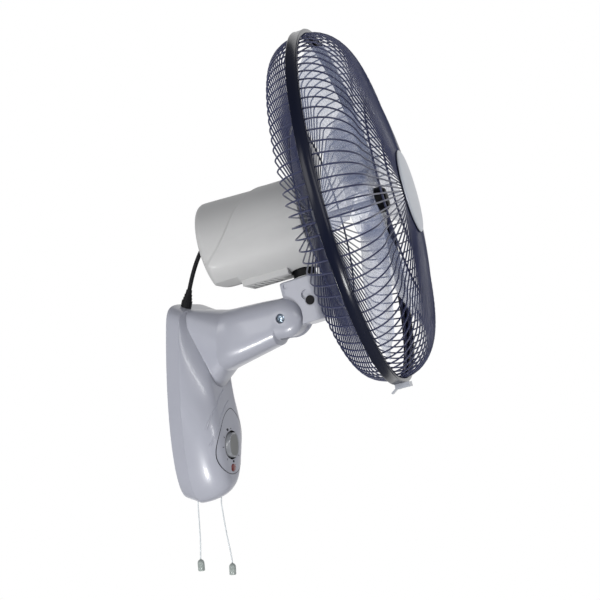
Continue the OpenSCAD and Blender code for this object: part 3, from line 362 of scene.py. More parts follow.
def lathe(profile, steps=96, closed=False, turn=fan_turn):
    """Points and faces of a profile of (radius, s) turned round the fan's axis, or round another one."""
    rings = [[turn(r, a, s) for a in round_turns(steps)] for r, s in profile]
    if closed:
        rings.append(rings[0])
    return skin(rings)


def band(r0, r1, s0, s1):
    """Profile of a flat or straight ring."""
    return [(r0, s0), (r1, s0), (r1, s1), (r0, s1)]


def smooth_table(rows, steps):
    """Rows of a table with Catmull-Rom rows between them."""
    out = []
    for k in range(len(rows) - 1):
        p = [rows[max(k - 1, 0)], rows[k], rows[k + 1], rows[min(k + 2, len(rows) - 1)]]
        for j in range(steps):
            t = j / steps
            out.append(tuple(0.5 * (2 * b + (c - a) * t + (2 * a - 5 * b + 4 * c - d) * t * t
                                    + (3 * b - a - 3 * c + d) * t ** 3) for a, b, c, d in zip(*p)))
    return out + [rows[-1]]


def apply_modifier(piece, kind, **settings):
    """A modifier, kept in the piece's mesh."""
    m = piece.modifiers.new(kind, kind)
    for name, value in settings.items():
        setattr(m, name, value)
    graph = bpy.context.evaluated_depsgraph_get()
    piece.data = bpy.data.meshes.new_from_object(piece.evaluated_get(graph))
    piece.modifiers.clear()


def cut(piece, tool, operation="DIFFERENCE"):
    """A boolean of two objects, kept in the first one's mesh."""
    apply_modifier(piece, "BOOLEAN", operation=operation, object=tool, solver="EXACT")
    bpy.data.objects.remove(tool)
    return piece


def soften(piece, angle=32, even=False):
    """Smooth shading up to an angle, with sharp edges kept; even keeps large faces flat beside small ones."""
    mesh = piece.data
    mesh.shade_smooth()
    mesh.set_sharp_from_angle(angle=math.radians(angle))
    if even:
        apply_modifier(piece, "WEIGHTED_NORMAL", keep_sharp=True, weight=100)


def cutter(shape, material=COVER):
    return make_object("cutter", *shape, material)


def box(x0, x1, y0, y1, z0, z1, place=lambda x, y, z: (x, y, z)):
    """Points and faces of a box between two places along each axis of a frame."""
    points = [place(x, y, z) for x in (x0, x1) for y in (y0, y1) for z in (z0, z1)]
    return points, [(0, 1, 3, 2), (4, 6, 7, 5), (0, 4, 5, 1), (2, 3, 7, 6), (0, 2, 6, 4), (1, 5, 7, 3)]


# Pull cords

CORD_D, BELL_D, BELL_L, BELL_NECK, BELL_WAIST, BELL_DOME = 1.6, 9, 15, 4, 9.6, 5.2
SLOT_W, SLOT_DEEP, SLOT_TOP, SLOT_TURN = 1.2, 0.8, 9, math.radians(205)
# Heights at which a cord starts in the base, leaves its guide and begins to hang askew in equal steps
CORD_TOP_Z, CORD_GUIDE_Z, CORD_FREE_Z, CORD_STEP = -99, -114, -128, 5


def cord_route(x, depths, *end):
    """Places along a cord, by its distance from the wall at each step."""
    straight = [(x, -depths[0], z) for z in (CORD_TOP_Z, CORD_GUIDE_Z)]
    return straight + [(x, -y, CORD_FREE_Z - CORD_STEP * k) for k, y in enumerate(depths)] + list(end)


SPEED_ROUTE = cord_route(-11, (21, 21.3, 21.7, 22.1, 22.5, 22.9, 23.3, 23.7, 24.1, 24.4, 24.6, 24.7, 24.8,
                               24.8, 24.8, 25.3))
SWING_ROUTE = cord_route(11, (43, 43.8, 44.7, 45.6, 46.6, 47.6, 48.6, 49.7, 50.8, 52, 53.2, 54.5, 55.8, 57,
                              58.2, 59.1), (11, -59.4, -209))


def route_length(route):
    return sum((Vector(b) - Vector(a)).length for a, b in zip(route, route[1:]))


def bell_mesh(route):
    """A domed bell on the end of its cord, with a slot down one side."""
    end = (Vector(route[-1]) - Vector(route[-2])).normalized()
    turn = Vector((0, 0, -1)).rotation_difference(end)
    r, bore = BELL_D / 2, CORD_D / 2 + 0.1
    dome = [(r * math.cos(a), BELL_WAIST + BELL_DOME * math.sin(a)) for a in quarter_turns(10)[:9]]
    profile = [(0, 0.6), (r - 1.4, 0.6), (r - 1.2, 0), (r - 0.5, 0), (r, 0.5), *dome, (bore, BELL_L),
               (bore, BELL_L - BELL_NECK), (0, BELL_L - BELL_NECK)]

    def place(radius, angle, height):
        # The slot is a groove in the lower half, on the side towards the camera
        away = abs((angle - SLOT_TURN + math.pi) % (2 * math.pi) - math.pi) * r
        slotted = radius > r - 1 and height < SLOT_TOP
        deep = SLOT_DEEP * max(0, 1 - (away / SLOT_W) ** 4) if slotted else 0
        local = Vector(((radius - deep) * math.cos(angle), (radius - deep) * math.sin(angle),
                        height + BELL_NECK - BELL_L))
        return Vector(route[-1]) + turn @ local

    return lathe(profile, 96, turn=place)


def pull_cord(name, route, body):
    cord_piece = make_object(name + "_cord_line", *tube(route, CORD_D / 2, 12), CORD)
    settle(cord_piece, body, "cord_white", name + "_cord")
    bell_piece = make_object(name + "_bell_dome", *bell_mesh(route), BELL)
    settle(bell_piece, body, "bell_grey", name + "_bell")
    Vector(route[0]) * MM
    route_length(route) * MM
    [Vector(p) * MM for p in route]


# Base and arm, finer than their CAD nodes

TOP_DROP = 7
LOW_H = BASE_H * 0.83
HIGH_H = BASE_H - LOW_H - TOP_DROP
WIDEST_Z = LOW_H - BASE_H / 2
SHOULDER_N, EDGE_R, EDGE_TOP_N, EDGE_LOW_N, EDGE_FROM_Z, EDGE_FALL = 5, 34, 1.25, 2.6, 20, 80
# Height at which the face bends back
BEND_Z = -BASE_H * 0.115
LEAN, FACE_BEND, KNEE_SHARE, SLOPE_GROWS = 0.08, 0.5, 0.1, 1.1
CHIN_H, CHIN_N = BASE_H * 0.17, 2.4
FINE = 192


def power(value, n):
    return math.copysign(abs(value) ** n, value)


def shield(half_w, high, low):
    """Outline round the widest height: half an ellipse below it, and a curve with square shoulders above."""
    out = []
    for t in round_turns(FINE):
        n, reach = (1, low) if math.sin(t) < 0 else (2 / SHOULDER_N, high)
        out.append((half_w * power(math.cos(t), n), WIDEST_Z + reach * power(math.sin(t), n)))
    return out


def base_outline(inset):
    return shield(BASE_W / 2 - inset, HIGH_H - inset, LOW_H - inset)


def face_depth(z):
    knee = FRONT_D - LEAN * BASE_H * KNEE_SHARE
    slope = SLOPE_GROWS * (knee - TOP_D) / (BASE_H / 2 - BEND_Z)
    low, high = knee - LEAN * (z - BEND_Z), knee - slope * (z - BEND_Z)
    line = (low + high - math.sqrt((high - low) ** 2 + 4 * FACE_BEND ** 2)) / 2
    chin = (1 - min(max(0, 1 - (z + BASE_H / 2) / CHIN_H), 1) ** CHIN_N) ** (1 / CHIN_N)
    return REAR_D + chin * (line - REAR_D)


def edge_share(inset, turn, z):
    """Share of the face's depth that the cover's rounded side has reached at an inset."""
    n = mix(EDGE_TOP_N, EDGE_LOW_N, smooth((EDGE_FROM_Z - z) / EDGE_FALL))
    return (1 - (1 - min(max(inset / turn, 0), 1)) ** n) ** (1 / n)


def edge_ring(start, share, off):
    inset = start + (EDGE_R - start) * share
    return [(x, -REAR_D - edge_share(inset - start, EDGE_R - start, z) * (face_depth(z) - off - REAR_D), z)
            for x, z in base_outline(inset)]


def scaled_ring(share, off):
    ring = []
    for x, z in base_outline(EDGE_R):
        z = WIDEST_Z * (1 - share) + z * share
        ring.append((x * share, -(face_depth(z) - off), z))
    return ring


def inset_at(x, z):
    """Inset of the outline that runs through a place of the front view."""
    low, high = 0.0, EDGE_R * 1.05
    n, reach = (2, LOW_H) if z < WIDEST_Z else (SHOULDER_N, HIGH_H)
    for _ in range(16):
        half = (low + high) / 2
        if abs(x / (BASE_W / 2 - half)) ** n + abs((z - WIDEST_Z) / (reach - half)) ** n < 1:
            low = half
        else:
            high = half
    return low


def skin_depth(x, z, off=0.0):
    return REAR_D + edge_share(inset_at(x, z) - off, EDGE_R - off, z) * (face_depth(z) - off - REAR_D)


def on_cover(outline, lift=0.0, off=0.0):
    """Places of the front view set on the cover's surface, lifted from it, or off into it."""
    return [(x, -skin_depth(x, z, off) - lift, z) for x, z in outline]


pull_cord("speed", SPEED_ROUTE, "speed_pull")
pull_cord("swing", SWING_ROUTE, "swing_pull")

shares = [1 - k / 24 for k in range(1, 24)]
bends = [(k / 18) ** 2 for k in range(19)]
rings = [scaled_ring(share, WALL) for share in reversed(shares)]
rings += [edge_ring(WALL, share, WALL) for share in reversed(bends)]
rings += [edge_ring(0, share, 0) for share in bends]
rings += [scaled_ring(share, 0) for share in shares]
cover = make_object("cover_fine", *skin(rings, (0, -face_depth(WIDEST_Z) + WALL, WIDEST_Z),
                                        (0, -face_depth(WIDEST_Z), WIDEST_Z)), COVER)

ROOT_W = BASE_W * 0.77
ROOT_DROP, ROOT_SHOULDER, ROOT_SHARE = 8.5, 21.5, 0.37
ROOT_TOP_Z = BASE_H / 2 - ROOT_DROP
ROOT_MID_Z, ROOT_TIP_Z = ROOT_TOP_Z - ROOT_SHOULDER, ROOT_TOP_Z - BASE_H * ROOT_SHARE
ROOT_TIP_R, TIP_SHARE = ROOT_W * 0.234, 0.4


def root_low(v, side, inset):
    """Place on the bib's lower half: its round tip, then the straight run up to its widest height."""
    w, r = ROOT_W / 2 - inset, ROOT_TIP_R - inset
    centre = ROOT_TIP_Z + ROOT_TIP_R
    h = ROOT_MID_Z - centre
    turn = math.atan2(h, w) - math.acos(r / math.hypot(w, h))
    a = mix(-math.pi / 2, turn, min(v / TIP_SHARE, 1))
    along = max((v - TIP_SHARE) / (1 - TIP_SHARE), 0)
    return side * mix(r * math.cos(a), w, along), mix(centre + r * math.sin(a), ROOT_MID_Z, along)


def root_outline(inset):
    out = []
    for t in round_turns(FINE):
        if math.sin(t) < 0:
            side = -1 if t < math.pi * 1.5 else 1
            out.append(root_low(abs(t - math.pi * 1.5) / (math.pi / 2), side, inset))
        else:
            out.append(((ROOT_W / 2 - inset) * power(math.cos(t), 0.5),
                        ROOT_MID_Z + (ROOT_TOP_Z - ROOT_MID_Z - inset) * power(math.sin(t), 0.5)))
    return out


PANEL_W, PANEL_TURN, TIP_N, GROOVE, DIAL_D = BASE_W * 0.55, math.radians(12), 0.18, 0.55, 37
# Shares of the base's height: below the panel, the panel's, from its foot to the knob, and down to the lens
PANEL_FOOT, PANEL_SHARE, KNOB_SHARE, LAMP_SHARE = 0.156, 0.327, 0.144, 0.113
PANEL_LOW_Z = BASE_H * (PANEL_FOOT - 0.5)
PANEL_TIP_Z = PANEL_LOW_Z + BASE_H * PANEL_SHARE
PANEL_MID_Z = PANEL_LOW_Z + PANEL_W / 2
KNOB_Z = PANEL_LOW_Z + BASE_H * KNOB_SHARE
LAMP_Z = KNOB_Z - BASE_H * LAMP_SHARE


def panel_outline(inset, share=1):
    """Outline of the panel, or a smaller one: a half circle below, a rounded tip above, turned a little."""
    out = []
    r, h = PANEL_W / 2 - inset, PANEL_TIP_Z - PANEL_LOW_Z - PANEL_W / 2 - inset
    c, s = math.cos(PANEL_TURN), math.sin(PANEL_TURN)
    for turn in round_turns(FINE):
        t = turn - math.pi / 2
        up = math.sin(t) > 0
        x = r * math.cos(t) * ((math.cos(t) ** 2) ** TIP_N if up else 1)
        z = (h if up else r) * math.sin(t)
        out.append(((x * c + z * s) * share, PANEL_MID_Z + (z * c - x * s) * share))
    return out


def prism(outline, near, far):
    """A block through the front view, between two depths."""
    rings = [[(x, -y, z) for x, z in outline] for y in (near, far)]
    points, faces = skin(rings)
    count = len(outline)
    faces += [tuple(range(count)), tuple(range(count, 2 * count))[::-1]]
    return cutter((points, faces))


# Depths between which the cover and the panel are cut through
CUT_REAR, CUT_MID, CUT_FRONT = 30, 40, 100
cut(cover, prism(root_outline(-GAP), REAR_D - 1, CUT_FRONT))
cut(cover, prism(panel_outline(0), CUT_REAR, CUT_FRONT))
soften(cover)
settle(cover, "base", "cover_grey", "front_cover")


def shell_ring(inset, y):
    return [(x, y, z) for x, z in base_outline(inset)]


def wall_ring(inset, y):
    """The rear shell's outline at the wall, where its top is as high as the base."""
    outline = shield(BASE_W / 2 - DRAFT - inset, HIGH_H + TOP_DROP - inset, LOW_H - DRAFT - inset)
    return [(x, y, z) for x, z in outline]


rings = [wall_ring(WALL / 2, 0)]
rings += [wall_ring(inset, -rise) for inset, rise in corner_steps(WALL / 2, 4)[1:]]
rings += [shell_ring(0.25, -REAR_D + 0.35), shell_ring(0.45, -REAR_D + 0.1), shell_ring(WALL, -REAR_D + 0.1),
          wall_ring(WALL, -WALL)]
shell = make_object("shell_fine", *skin(rings, (0, 0, WIDEST_Z), (0, -WALL, WIDEST_Z)), COVER)

# Openings in the back: two keyholes and the holes of the four screws
KEY_PITCH, KEY_SLOT, KEY_HEAD, KEY_RISE, SCREW_HOLE_R = 130, 4.6, 9.5, 14, 3 + GAP
# Shares of the root's width and, down from the top, of the base's height
BOSS_PLACES = [(side * ROOT_W * share, BASE_H / 2 - BASE_H * drop)
               for side in (-1, 1) for share, drop in ((0.4, 0.105), (0.235, 0.241))]


def arc(x, z, r, start, end, steps):
    turns = [start + (end - start) * i / steps for i in range(steps + 1)]
    return [(x + r * math.cos(t), z + r * math.sin(t)) for t in turns]


def keyhole(z):
    """A round hole for a screw's head and the slot that rises from it."""
    a = math.asin(KEY_SLOT / KEY_HEAD)
    slot = arc(0, z + KEY_RISE, KEY_SLOT / 2, 0, math.pi, 12)
    return slot + arc(0, z, KEY_HEAD / 2, math.pi / 2 + a, 2.5 * math.pi - a, 36)


for z in (-KEY_PITCH / 2, KEY_PITCH / 2):
    cut(shell, prism(keyhole(z), -1, WALL + 1))
for x, z in BOSS_PLACES:
    cut(shell, prism(oval(x, z, SCREW_HOLE_R, SCREW_HOLE_R, 36), -1, WALL + 1))
soften(shell, 40, even=True)
settle(shell, "base", "cover_grey", "rear_shell")

# The panel's plate with its holes for the dial's cup and the lens
PANEL_SHARES = (0.2, 0.4, 0.6, 0.8, 0.9, 1)
LAMP_HOLE_A, LAMP_HOLE_B, CUP_RIM = 5.85, 5.15, 1.65


def panel_ring(share, off=0.0):
    return on_cover(panel_outline(GROOVE, share), off=off)


rings = [panel_ring(k, WALL) for k in PANEL_SHARES] + [panel_ring(k) for k in PANEL_SHARES[::-1]]
middles = on_cover([(0, PANEL_MID_Z)], off=WALL) + on_cover([(0, PANEL_MID_Z)])
plate = make_object("panel_fine", *skin(rings, *middles), COVER)
hole = DIAL_D / 2 + CUP_RIM
cut(plate, prism(oval(0, KNOB_Z, hole, hole), CUT_MID, CUT_FRONT))
cut(plate, prism(oval(0, LAMP_Z, LAMP_HOLE_A, LAMP_HOLE_B, 48), CUT_MID, CUT_FRONT))
soften(plate, 30)
settle(plate, "base", "cover_grey", "control_panel")

# Two fine ridges that sweep from the bib's tip down the cover's side
RIDGES = [[(2, 19), (-10, 12), (-21, 3), (-31, -7), (-38.5, -18), (-43, -30)],
          [(8, 4), (-4, -3), (-15.5, -12), (-26, -23), (-34, -35), (-39.5, -49)]]
RIDGE_D, RIDGE_PROUD = 2.6, 0.9
lift = RIDGE_PROUD - RIDGE_D / 2
shapes = [tube(on_cover(smooth_table(ridge, 10), lift), RIDGE_D / 2) for ridge in RIDGES]
settle(make_object("cover_ridges", *merge(shapes), COVER), "base", "cover_grey")

# A dark tube sunk in the joint round the panel: painted shade
SHADE_TUBE_R, SHADE_TUBE_SINK, SHADE_TUBE_INSET = 0.78, 0.6, 0.25
shade_path = on_cover(panel_outline(SHADE_TUBE_INSET), -SHADE_TUBE_SINK)
settle(make_object("panel_shade_tube", *tube(shade_path, SHADE_TUBE_R, closed=True), PRINT_AND_SHADE), "base", "black_plastic")

# Dots and ticks round the dial, as thin prints on the panel
PRINT_T, PRINT_SINK, MARK_R, TICK_L, TICK_W = 0.12, 0.3, 21.8, 3.2, 0.8


def print_patch(outline):
    """A thin print on the cover's surface, by its outline in the front view."""
    cx, cz = middle(outline)
    rings = []
    for k, lift in ((0.5, -PRINT_SINK), (1, -PRINT_SINK), (1, PRINT_T), (0.5, PRINT_T)):
        rings.append(on_cover([(x * k + cx * (1 - k), z * k + cz * (1 - k)) for x, z in outline], lift))
    return capped(rings)


def dial_place(turn, away):
    """Place by the angle from straight up, clockwise, and the distance from the knob."""
    return away * math.sin(math.radians(turn)), KNOB_Z + away * math.cos(math.radians(turn))


def dot(turn, away, wide, tall):
    return print_patch(oval(*dial_place(turn, away), wide / 2, tall / 2, 24))


def tick(turn):
    (x0, z0), (x1, z1) = (dial_place(turn, MARK_R + end * TICK_L / 2) for end in (-1, 1))
    sx, sz = TICK_W / 2 * math.cos(math.radians(turn)), -TICK_W / 2 * math.sin(math.radians(turn))
    return print_patch([(x0 - sx, z0 - sz), (x0 + sx, z0 + sz), (x1 + sx, z1 + sz), (x1 - sx, z1 - sz)])


# Dots by their angle, distance, width and height
shapes = [dot(-22, MARK_R, 5, 3.4), dot(176, MARK_R - 0.6, 4.6, 3.2), dot(2, MARK_R - 1, 2, 1.6)]
shapes += [tick(turn) for turn in (-140, -92, -58, 134)]
settle(make_object("dial_marks", *merge(shapes), PRINT_AND_SHADE), "base", "black_plastic")

# Knob: a round foot in the dial's cup that rises to a long grip with a sunk top
KNOB_LEAN = math.atan(LEAN)


def knob_point(x, y, h):
    c, s = math.cos(KNOB_LEAN), math.sin(KNOB_LEAN)
    return (x, -face_depth(KNOB_Z) + y * s - h * c, KNOB_Z + y * c + h * s)


def knob_ring(a, b, h, n=2.0):
    n = 2 / n
    return [knob_point(a * power(math.cos(t), n), b * power(math.sin(t), n), h) for t in round_turns(96)]


# Rows of half width, half height, height above the panel and squareness
KNOB_LEVELS = [(17.9, 17.9, -6.7), (17.9, 17.9, -5.2), (17.3, 16.2, -5.0), (17.3, 16.2, -0.4),
               (16.9, 16.1, 0.3), (15.4, 16.0, 1.4), (13.4, 15.9, 2.5, 2.2), (12.2, 15.7, 3.2, 2.4),
               (11.5, 15.3, 3.7, 2.6), (10.8, 14.7, 3.9, 2.7), (10.1, 14.0, 3.8, 2.7), (9.7, 13.6, 3.5, 2.7),
               (4.0, 7.0, 3.4, 2.7)]
TOP_SHADE_LEVELS = [(9.5, 13.4, 3.0, 2.7), (9.5, 13.4, 3.62, 2.7), (4.0, 7.0, 3.58, 2.7)]
CUP_SHADE_BAND = band(18.2, 18.47, -6.9, -0.4)


def knob_skin(levels, top):
    rings = [knob_ring(*level) for level in levels]
    return skin(rings, knob_point(0, 0, levels[0][2]), knob_point(0, 0, top))


knob = make_object("knob_grip", *knob_skin(KNOB_LEVELS, 3.4), KNOB)
soften(knob, 40)
settle(knob, "knob", "knob_grey", "speed_knob")
# A thin darker layer over the grip's sunk top: painted shade
top_shade = make_object("knob_top_shade", *knob_skin(TOP_SHADE_LEVELS, 3.56), KNOB_TOP_SHADE)
soften(top_shade, 40)
settle(top_shade, "knob", "knob_grey")
# A black band round the wall of the dial's cup: painted shade in the gap about the knob's foot
rings = [knob_ring(r, r, h) for r, h in CUP_SHADE_BAND]
settle(make_object("dial_shade_band", *skin(rings + rings[:1]), BLACK_AND_SHADE), "base", "black_plastic")

# Indicator lens: a low oval dome, in rows of half width, half height and rise
LENS_LEVELS = [(5.4, 4.7, -6), (5.7, 5.0, -0.1), (5.4, 4.7, 0.35), (4.2, 3.6, 0.6), (2.1, 1.8, 0.75)]
LENS_TOP = 0.8
lens_y = -skin_depth(0, LAMP_Z)
rings = [[(x, lens_y - lift, z) for x, z in oval(0, LAMP_Z, a, b, 48)] for a, b, lift in LENS_LEVELS]
ends = ((0, lens_y - lift, LAMP_Z) for lift in (LENS_LEVELS[0][2], LENS_TOP))
lens = make_object("lens_dome", *skin(rings, *ends), LENS)
soften(lens, 40)
settle(lens, "base", "lens_red", "indicator_lens")

# Arm, by the share of its length and the shares of its width, top and bottom from the root's to the fork's
STATIONS = [(0.10, 0.62, 0.10, 0.31), (0.22, 0.34, 0.22, 0.40), (0.40, 0.17, 0.42, 0.53),
            (0.62, 0.09, 0.66, 0.69), (0.88, 0.03, 0.90, 0.88), (0.90, 0.02, 0.92, 0.98), (1.00, 0, 1, 1)]
ARM_N, ARM_START, LIP, LIP_OVER = 2.6, 54, 1.4, 2


def arm_section(y, w, top, bottom):
    n, middle, half = 2 / ARM_N, (top + bottom) / 2, (top - bottom) / 2
    return [(w * power(math.cos(t), n), -y, middle + half * power(math.sin(t), n)) for t in round_turns(FINE)]


def arm_station(row):
    return arm_section(mix(ARM_START, PIVOT_Y, row[0]), mix(FORK_W / 2, ROOT_W / 2, row[1]),
                       mix(ROOT_TOP_Z, PIVOT_Z + FORK_R, row[2]), mix(ROOT_TIP_Z, PIVOT_Z - FORK_R, row[3]))


def fork_ring(angle):
    a = math.radians(angle)
    return arm_section(PIVOT_Y + FORK_R * math.sin(a), FORK_W / 2 * math.cos(a * 0.9) ** 0.3,
                       PIVOT_Z + FORK_R * math.cos(a), PIVOT_Z - FORK_R * math.cos(a))


def root_ring(inset, lift):
    return on_cover(root_outline(inset), lift)


rings = [[(x, -REAR_D, z) for x, z in root_outline(0)], root_ring(0, GAP), root_ring(-LIP_OVER, GAP),
         root_ring(-LIP_OVER + 0.1, 0.8), root_ring(GAP - LIP_OVER, LIP)]
rings += [arm_station(row) for row in smooth_table(STATIONS[:5], 5) + STATIONS[5:]]
rings += [fork_ring(a) for a in range(6, 90, 6)]
arm = make_object("arm_fine", *skin(rings, (0, -REAR_D, ROOT_MID_Z), (0, -PIVOT_Y - FORK_R, PIVOT_Z)), COVER)


def drum(x0, x1, radius, steps=96):
    """A round block across the arm, about the tilt bolt."""
    rings = [[(x, *place) for place in oval(-PIVOT_Y, PIVOT_Z, radius, radius, steps)] for x in (x0, x1)]
    return cutter(capped(rings))


slot = LUG_W / 2 + GAP
cut(arm, drum(-slot, slot, LUG_R + 1))
# The slot is open behind the lug, up to a plane a little behind the bolt
open_rear = cutter(box(-40, 40, -PIVOT_Y + 6, -PIVOT_Y + 60, 40, 180))
cut(arm, cut(drum(-slot, slot, FORK_R + 2), open_rear))
BOLT_RECESS_R, BOLT_RECESS = 6.15, 4
for x0 in (-FORK_W / 2 - 1, FORK_W / 2 - BOLT_RECESS):
    cut(arm, drum(x0, x0 + BOLT_RECESS + 1, BOLT_RECESS_R, steps=48))
soften(arm, 35, even=True)
settle(arm, "base", "cover_grey", "arm")


# Neck and its tilt bolt

NECK_W, NECK_TOP, NECK_REAR, NECK_FRONT, NECK_FOOT, NECK_ROUND = 40, 43, -5, -54, -14, 8
NECK_EDGE, LUG_EDGE, HOLE_PLAY = 2.5, 1.2, 0.05
PAN_SHAFT_D, PLUG_D, PLUG_Z, PLUG_SINK, BOLT_D = 16, 11.4, 12, 4, 6
PLUG_Y = -PAN_AHEAD - PAN_SHAFT_D / 2 + 1


def rounded(w, d, r):
    """Outline of a rectangle with round corners."""
    out = []
    for sx, sy, turn in ((1, 1, 0), (-1, 1, 90), (-1, -1, 180), (1, -1, 270)):
        for k in range(11):
            a = math.radians(turn + 9 * k)
            out.append((sx * (w / 2 - r) + r * math.cos(a), sy * (d / 2 - r) + r * math.sin(a)))
    return out


def neck_block():
    """A block in the neck's frame with round corners and round upper and lower edges."""
    rings, middle_y = [], (NECK_REAR + NECK_FRONT) / 2
    for z_end, inner in ((NECK_FOOT, 1), (NECK_TOP, -1)):
        part = []
        for inset, rise in corner_steps(NECK_EDGE, 8):
            outline = rounded(NECK_W - 2 * inset, NECK_REAR - NECK_FRONT - 2 * inset, NECK_ROUND - inset)
            part.append([neck_point(x, y + middle_y, z_end + inner * rise) for x, y in outline])
        rings += part[::inner]
    return skin(rings, neck_point(0, middle_y, NECK_FOOT), neck_point(0, middle_y, NECK_TOP))


def neck_drum(x0, x1, radius, edge=0.0, y=0, z=0):
    """A cutter: a round bar along the neck's X with round edges."""
    profile = [(radius, x0), (radius, x1)]
    if edge:
        bends = corner_steps(edge, 6)
        profile = [(radius - a, x0 + b) for a, b in bends] + [(radius - b, x1 - a) for a, b in bends]
    rings = [[neck_point(x, *place) for place in oval(y, z, r, r)] for r, x in profile]
    return cutter(capped(rings))


neck = make_object("neck_fine", *neck_block(), COVER)
for x0 in (-LUG_W / 2 - NECK_W, LUG_W / 2):
    cut(neck, neck_drum(x0, x0 + NECK_W, FORK_R + 2))
cut(neck, neck_drum(-LUG_W / 2, LUG_W / 2, LUG_R, LUG_EDGE), "UNION")
cut(neck, neck_drum(-NECK_W, NECK_W, BOLT_D / 2 + HOLE_PLAY))
# Round pockets in the side: above the plug, the plug's rim, its hole, and one by the neck's rear edge
for deep, radius, y, z in ((2.6, 6.2, PLUG_Y + 3.9, PLUG_Z + 8), (0.7, PLUG_D / 2 + 0.9, PLUG_Y, PLUG_Z),
                           (PLUG_SINK, PLUG_D / 2, PLUG_Y, PLUG_Z), (1.2, 3.2, -15, 37)):
    cut(neck, neck_drum(-NECK_W, -NECK_W / 2 + deep, radius, y=y, z=z))
soften(neck, 35, even=True)
settle(neck, "neck", "cover_grey", "neck_bracket")

# A thin black band round the pan shaft's shoulder, between the neck and the housing: painted shade in the gap
PAN_SHADE_BAND = band(14.05, 14.6, 44.3, 59.4)


def shaft_turn(r, a, z):
    return neck_point(r * math.cos(a), -PAN_AHEAD + r * math.sin(a), z)


pan_shade = make_object("pan_shade_band", *lathe(PAN_SHADE_BAND, 64, True, shaft_turn), BLACK_AND_SHADE)
soften(pan_shade, 40)
settle(pan_shade, "head", "black_rubber")

# Tilt bolt, by rows of radius and place across the fork, and the cross in its head
BOLT_HEAD_D, BOLT_HEAD_T, BOLT_SINK = 11.7, 3, 1
bolt_x = -FORK_W / 2 + BOLT_SINK
dome = [(0.05, -0.15), (2.6, -0.1), (4.4, 0.25), (5.3, 0.75), (BOLT_HEAD_D / 2, 1.5),
        (BOLT_HEAD_D / 2, BOLT_HEAD_T), (BOLT_D / 2, BOLT_HEAD_T), (BOLT_D / 2, FORK_W - 2 * BOLT_SINK - GAP)]


def bolt_point(x, y=0, z=0):
    return (bolt_x + x, -PIVOT_Y + y, PIVOT_Z + z)


rings = [[bolt_point(x, *place) for place in oval(0, 0, r, r, 64)] for r, x in dome]
bolt = make_object("tilt_bolt_head", *skin(rings, bolt_point(dome[0][1]), bolt_point(dome[-1][1])), CHROME)
CROSS_W, CROSS_L, CROSS_DEEP, CROSS_TURN = 1.1, 3.1, 1.9, math.radians(28)
for wide, tall in ((CROSS_W, CROSS_L), (CROSS_L, CROSS_W)):
    turn = Matrix.Rotation(CROSS_TURN, 3, "X")
    corners = [turn @ Vector((0, y * wide, z * tall)) for y, z in SQUARE]
    rings = [[bolt_point(x, k * c.y, k * c.z) for c in corners] for x, k in ((-1, 1.1), (CROSS_DEEP, 0.5))]
    cut(bolt, cutter(capped(rings)))
soften(bolt, 40)
settle(bolt, "base", "bright_steel", "tilt_bolt")


# Motor housing

HOUSING_R, HOUSING_BACK, HOUSING_FRONT, HOUSING_WALL, HOUSING_ROUND = 58.5, 193, 58, 2.4, 10
FLAT_Y, FLAT_S, WEB_T, MOTOR_R = -48, -158, 3, 46
CREASE_S, CREASE_SLOPE, CREASE_BEND, CREASE_FROM = -101.5, 0.6, 0.009, 75
STEP_DEEP, BEAD_H, BEAD_AT, BEAD_W, LINE_H, FACE_ROUND = 1.4, 0.4, 1.6, 1.5, 0.2, 1.2


def crease_s(turn):
    """Place along the axis of the crease that sweeps down each side, by the angle from the top."""
    return CREASE_S - CREASE_SLOPE * turn - CREASE_BEND * max(turn - CREASE_FROM, 0) ** 2


def smooth_step(value, width):
    """A step from 0 to 1 about 0, over a width."""
    return smooth(value / width + 0.5)


def housing_lift(angle, s):
    """Height of the moulded surface: the part behind the crease is lower, with a bead along the crease."""
    turn = abs((math.degrees(angle) - 90 + 180) % 360 - 180)
    away = s - crease_s(turn)
    fade = smooth_step(128 - turn, 12) * smooth_step(-62 - s, 8)
    step = -STEP_DEEP * (1 - smooth_step(away + 1.2, 2.4)) * smooth_step(away + 42, 70)
    bead = BEAD_H * math.exp(-((away - BEAD_AT) / BEAD_W) ** 2)
    line = LINE_H * smooth_step(turn - 91 + (s + 130) * 0.14, 1.6) * smooth_step(away - 3, 5)
    return (step + bead + line) * fade


def fan_drum(r, s0, s1, y=0):
    rings = [[fan_point(*place, s) for place in oval(0, y, r, r)] for s in (s0, s1)]
    return cutter(capped(rings), HOUSING)


def fan_block(*ends):
    return cutter(box(*ends, fan_point), HOUSING)


def housing_solid(inset, lift):
    """The housing's form, made smaller by an inset, with its moulded surface or plain."""
    turn_r, r_out, back = HOUSING_ROUND - inset, HOUSING_R - inset, -HOUSING_BACK + inset
    profile = [(r_out - inward, back + rise) for inward, rise in corner_steps(turn_r, 10)]
    front = -HOUSING_FRONT - (0 if lift else WEB_T)
    rows = 150 if lift else 4
    profile += [(r_out, mix(back + turn_r, front - FACE_ROUND, k / rows)) for k in range(1, rows + 1)]
    profile += [(r_out - 0.35, front - 0.35), (r_out - FACE_ROUND, front)] if lift else [(r_out, front)]
    rings = []
    for r, s in profile:
        moulded = lift and r > r_out - 2
        rings.append([fan_turn(r + (housing_lift(a, s) if moulded else 0), a, s) for a in round_turns(288)])
    piece = make_object("housing_fine", *skin(rings, fan_point(0, 0, back), fan_point(0, 0, front)), HOUSING)
    # The flat below lies on the swing gearbox
    return cut(piece, fan_block(-90, 90, FLAT_Y + inset - 60, FLAT_Y + inset, -230, FLAT_S + inset))


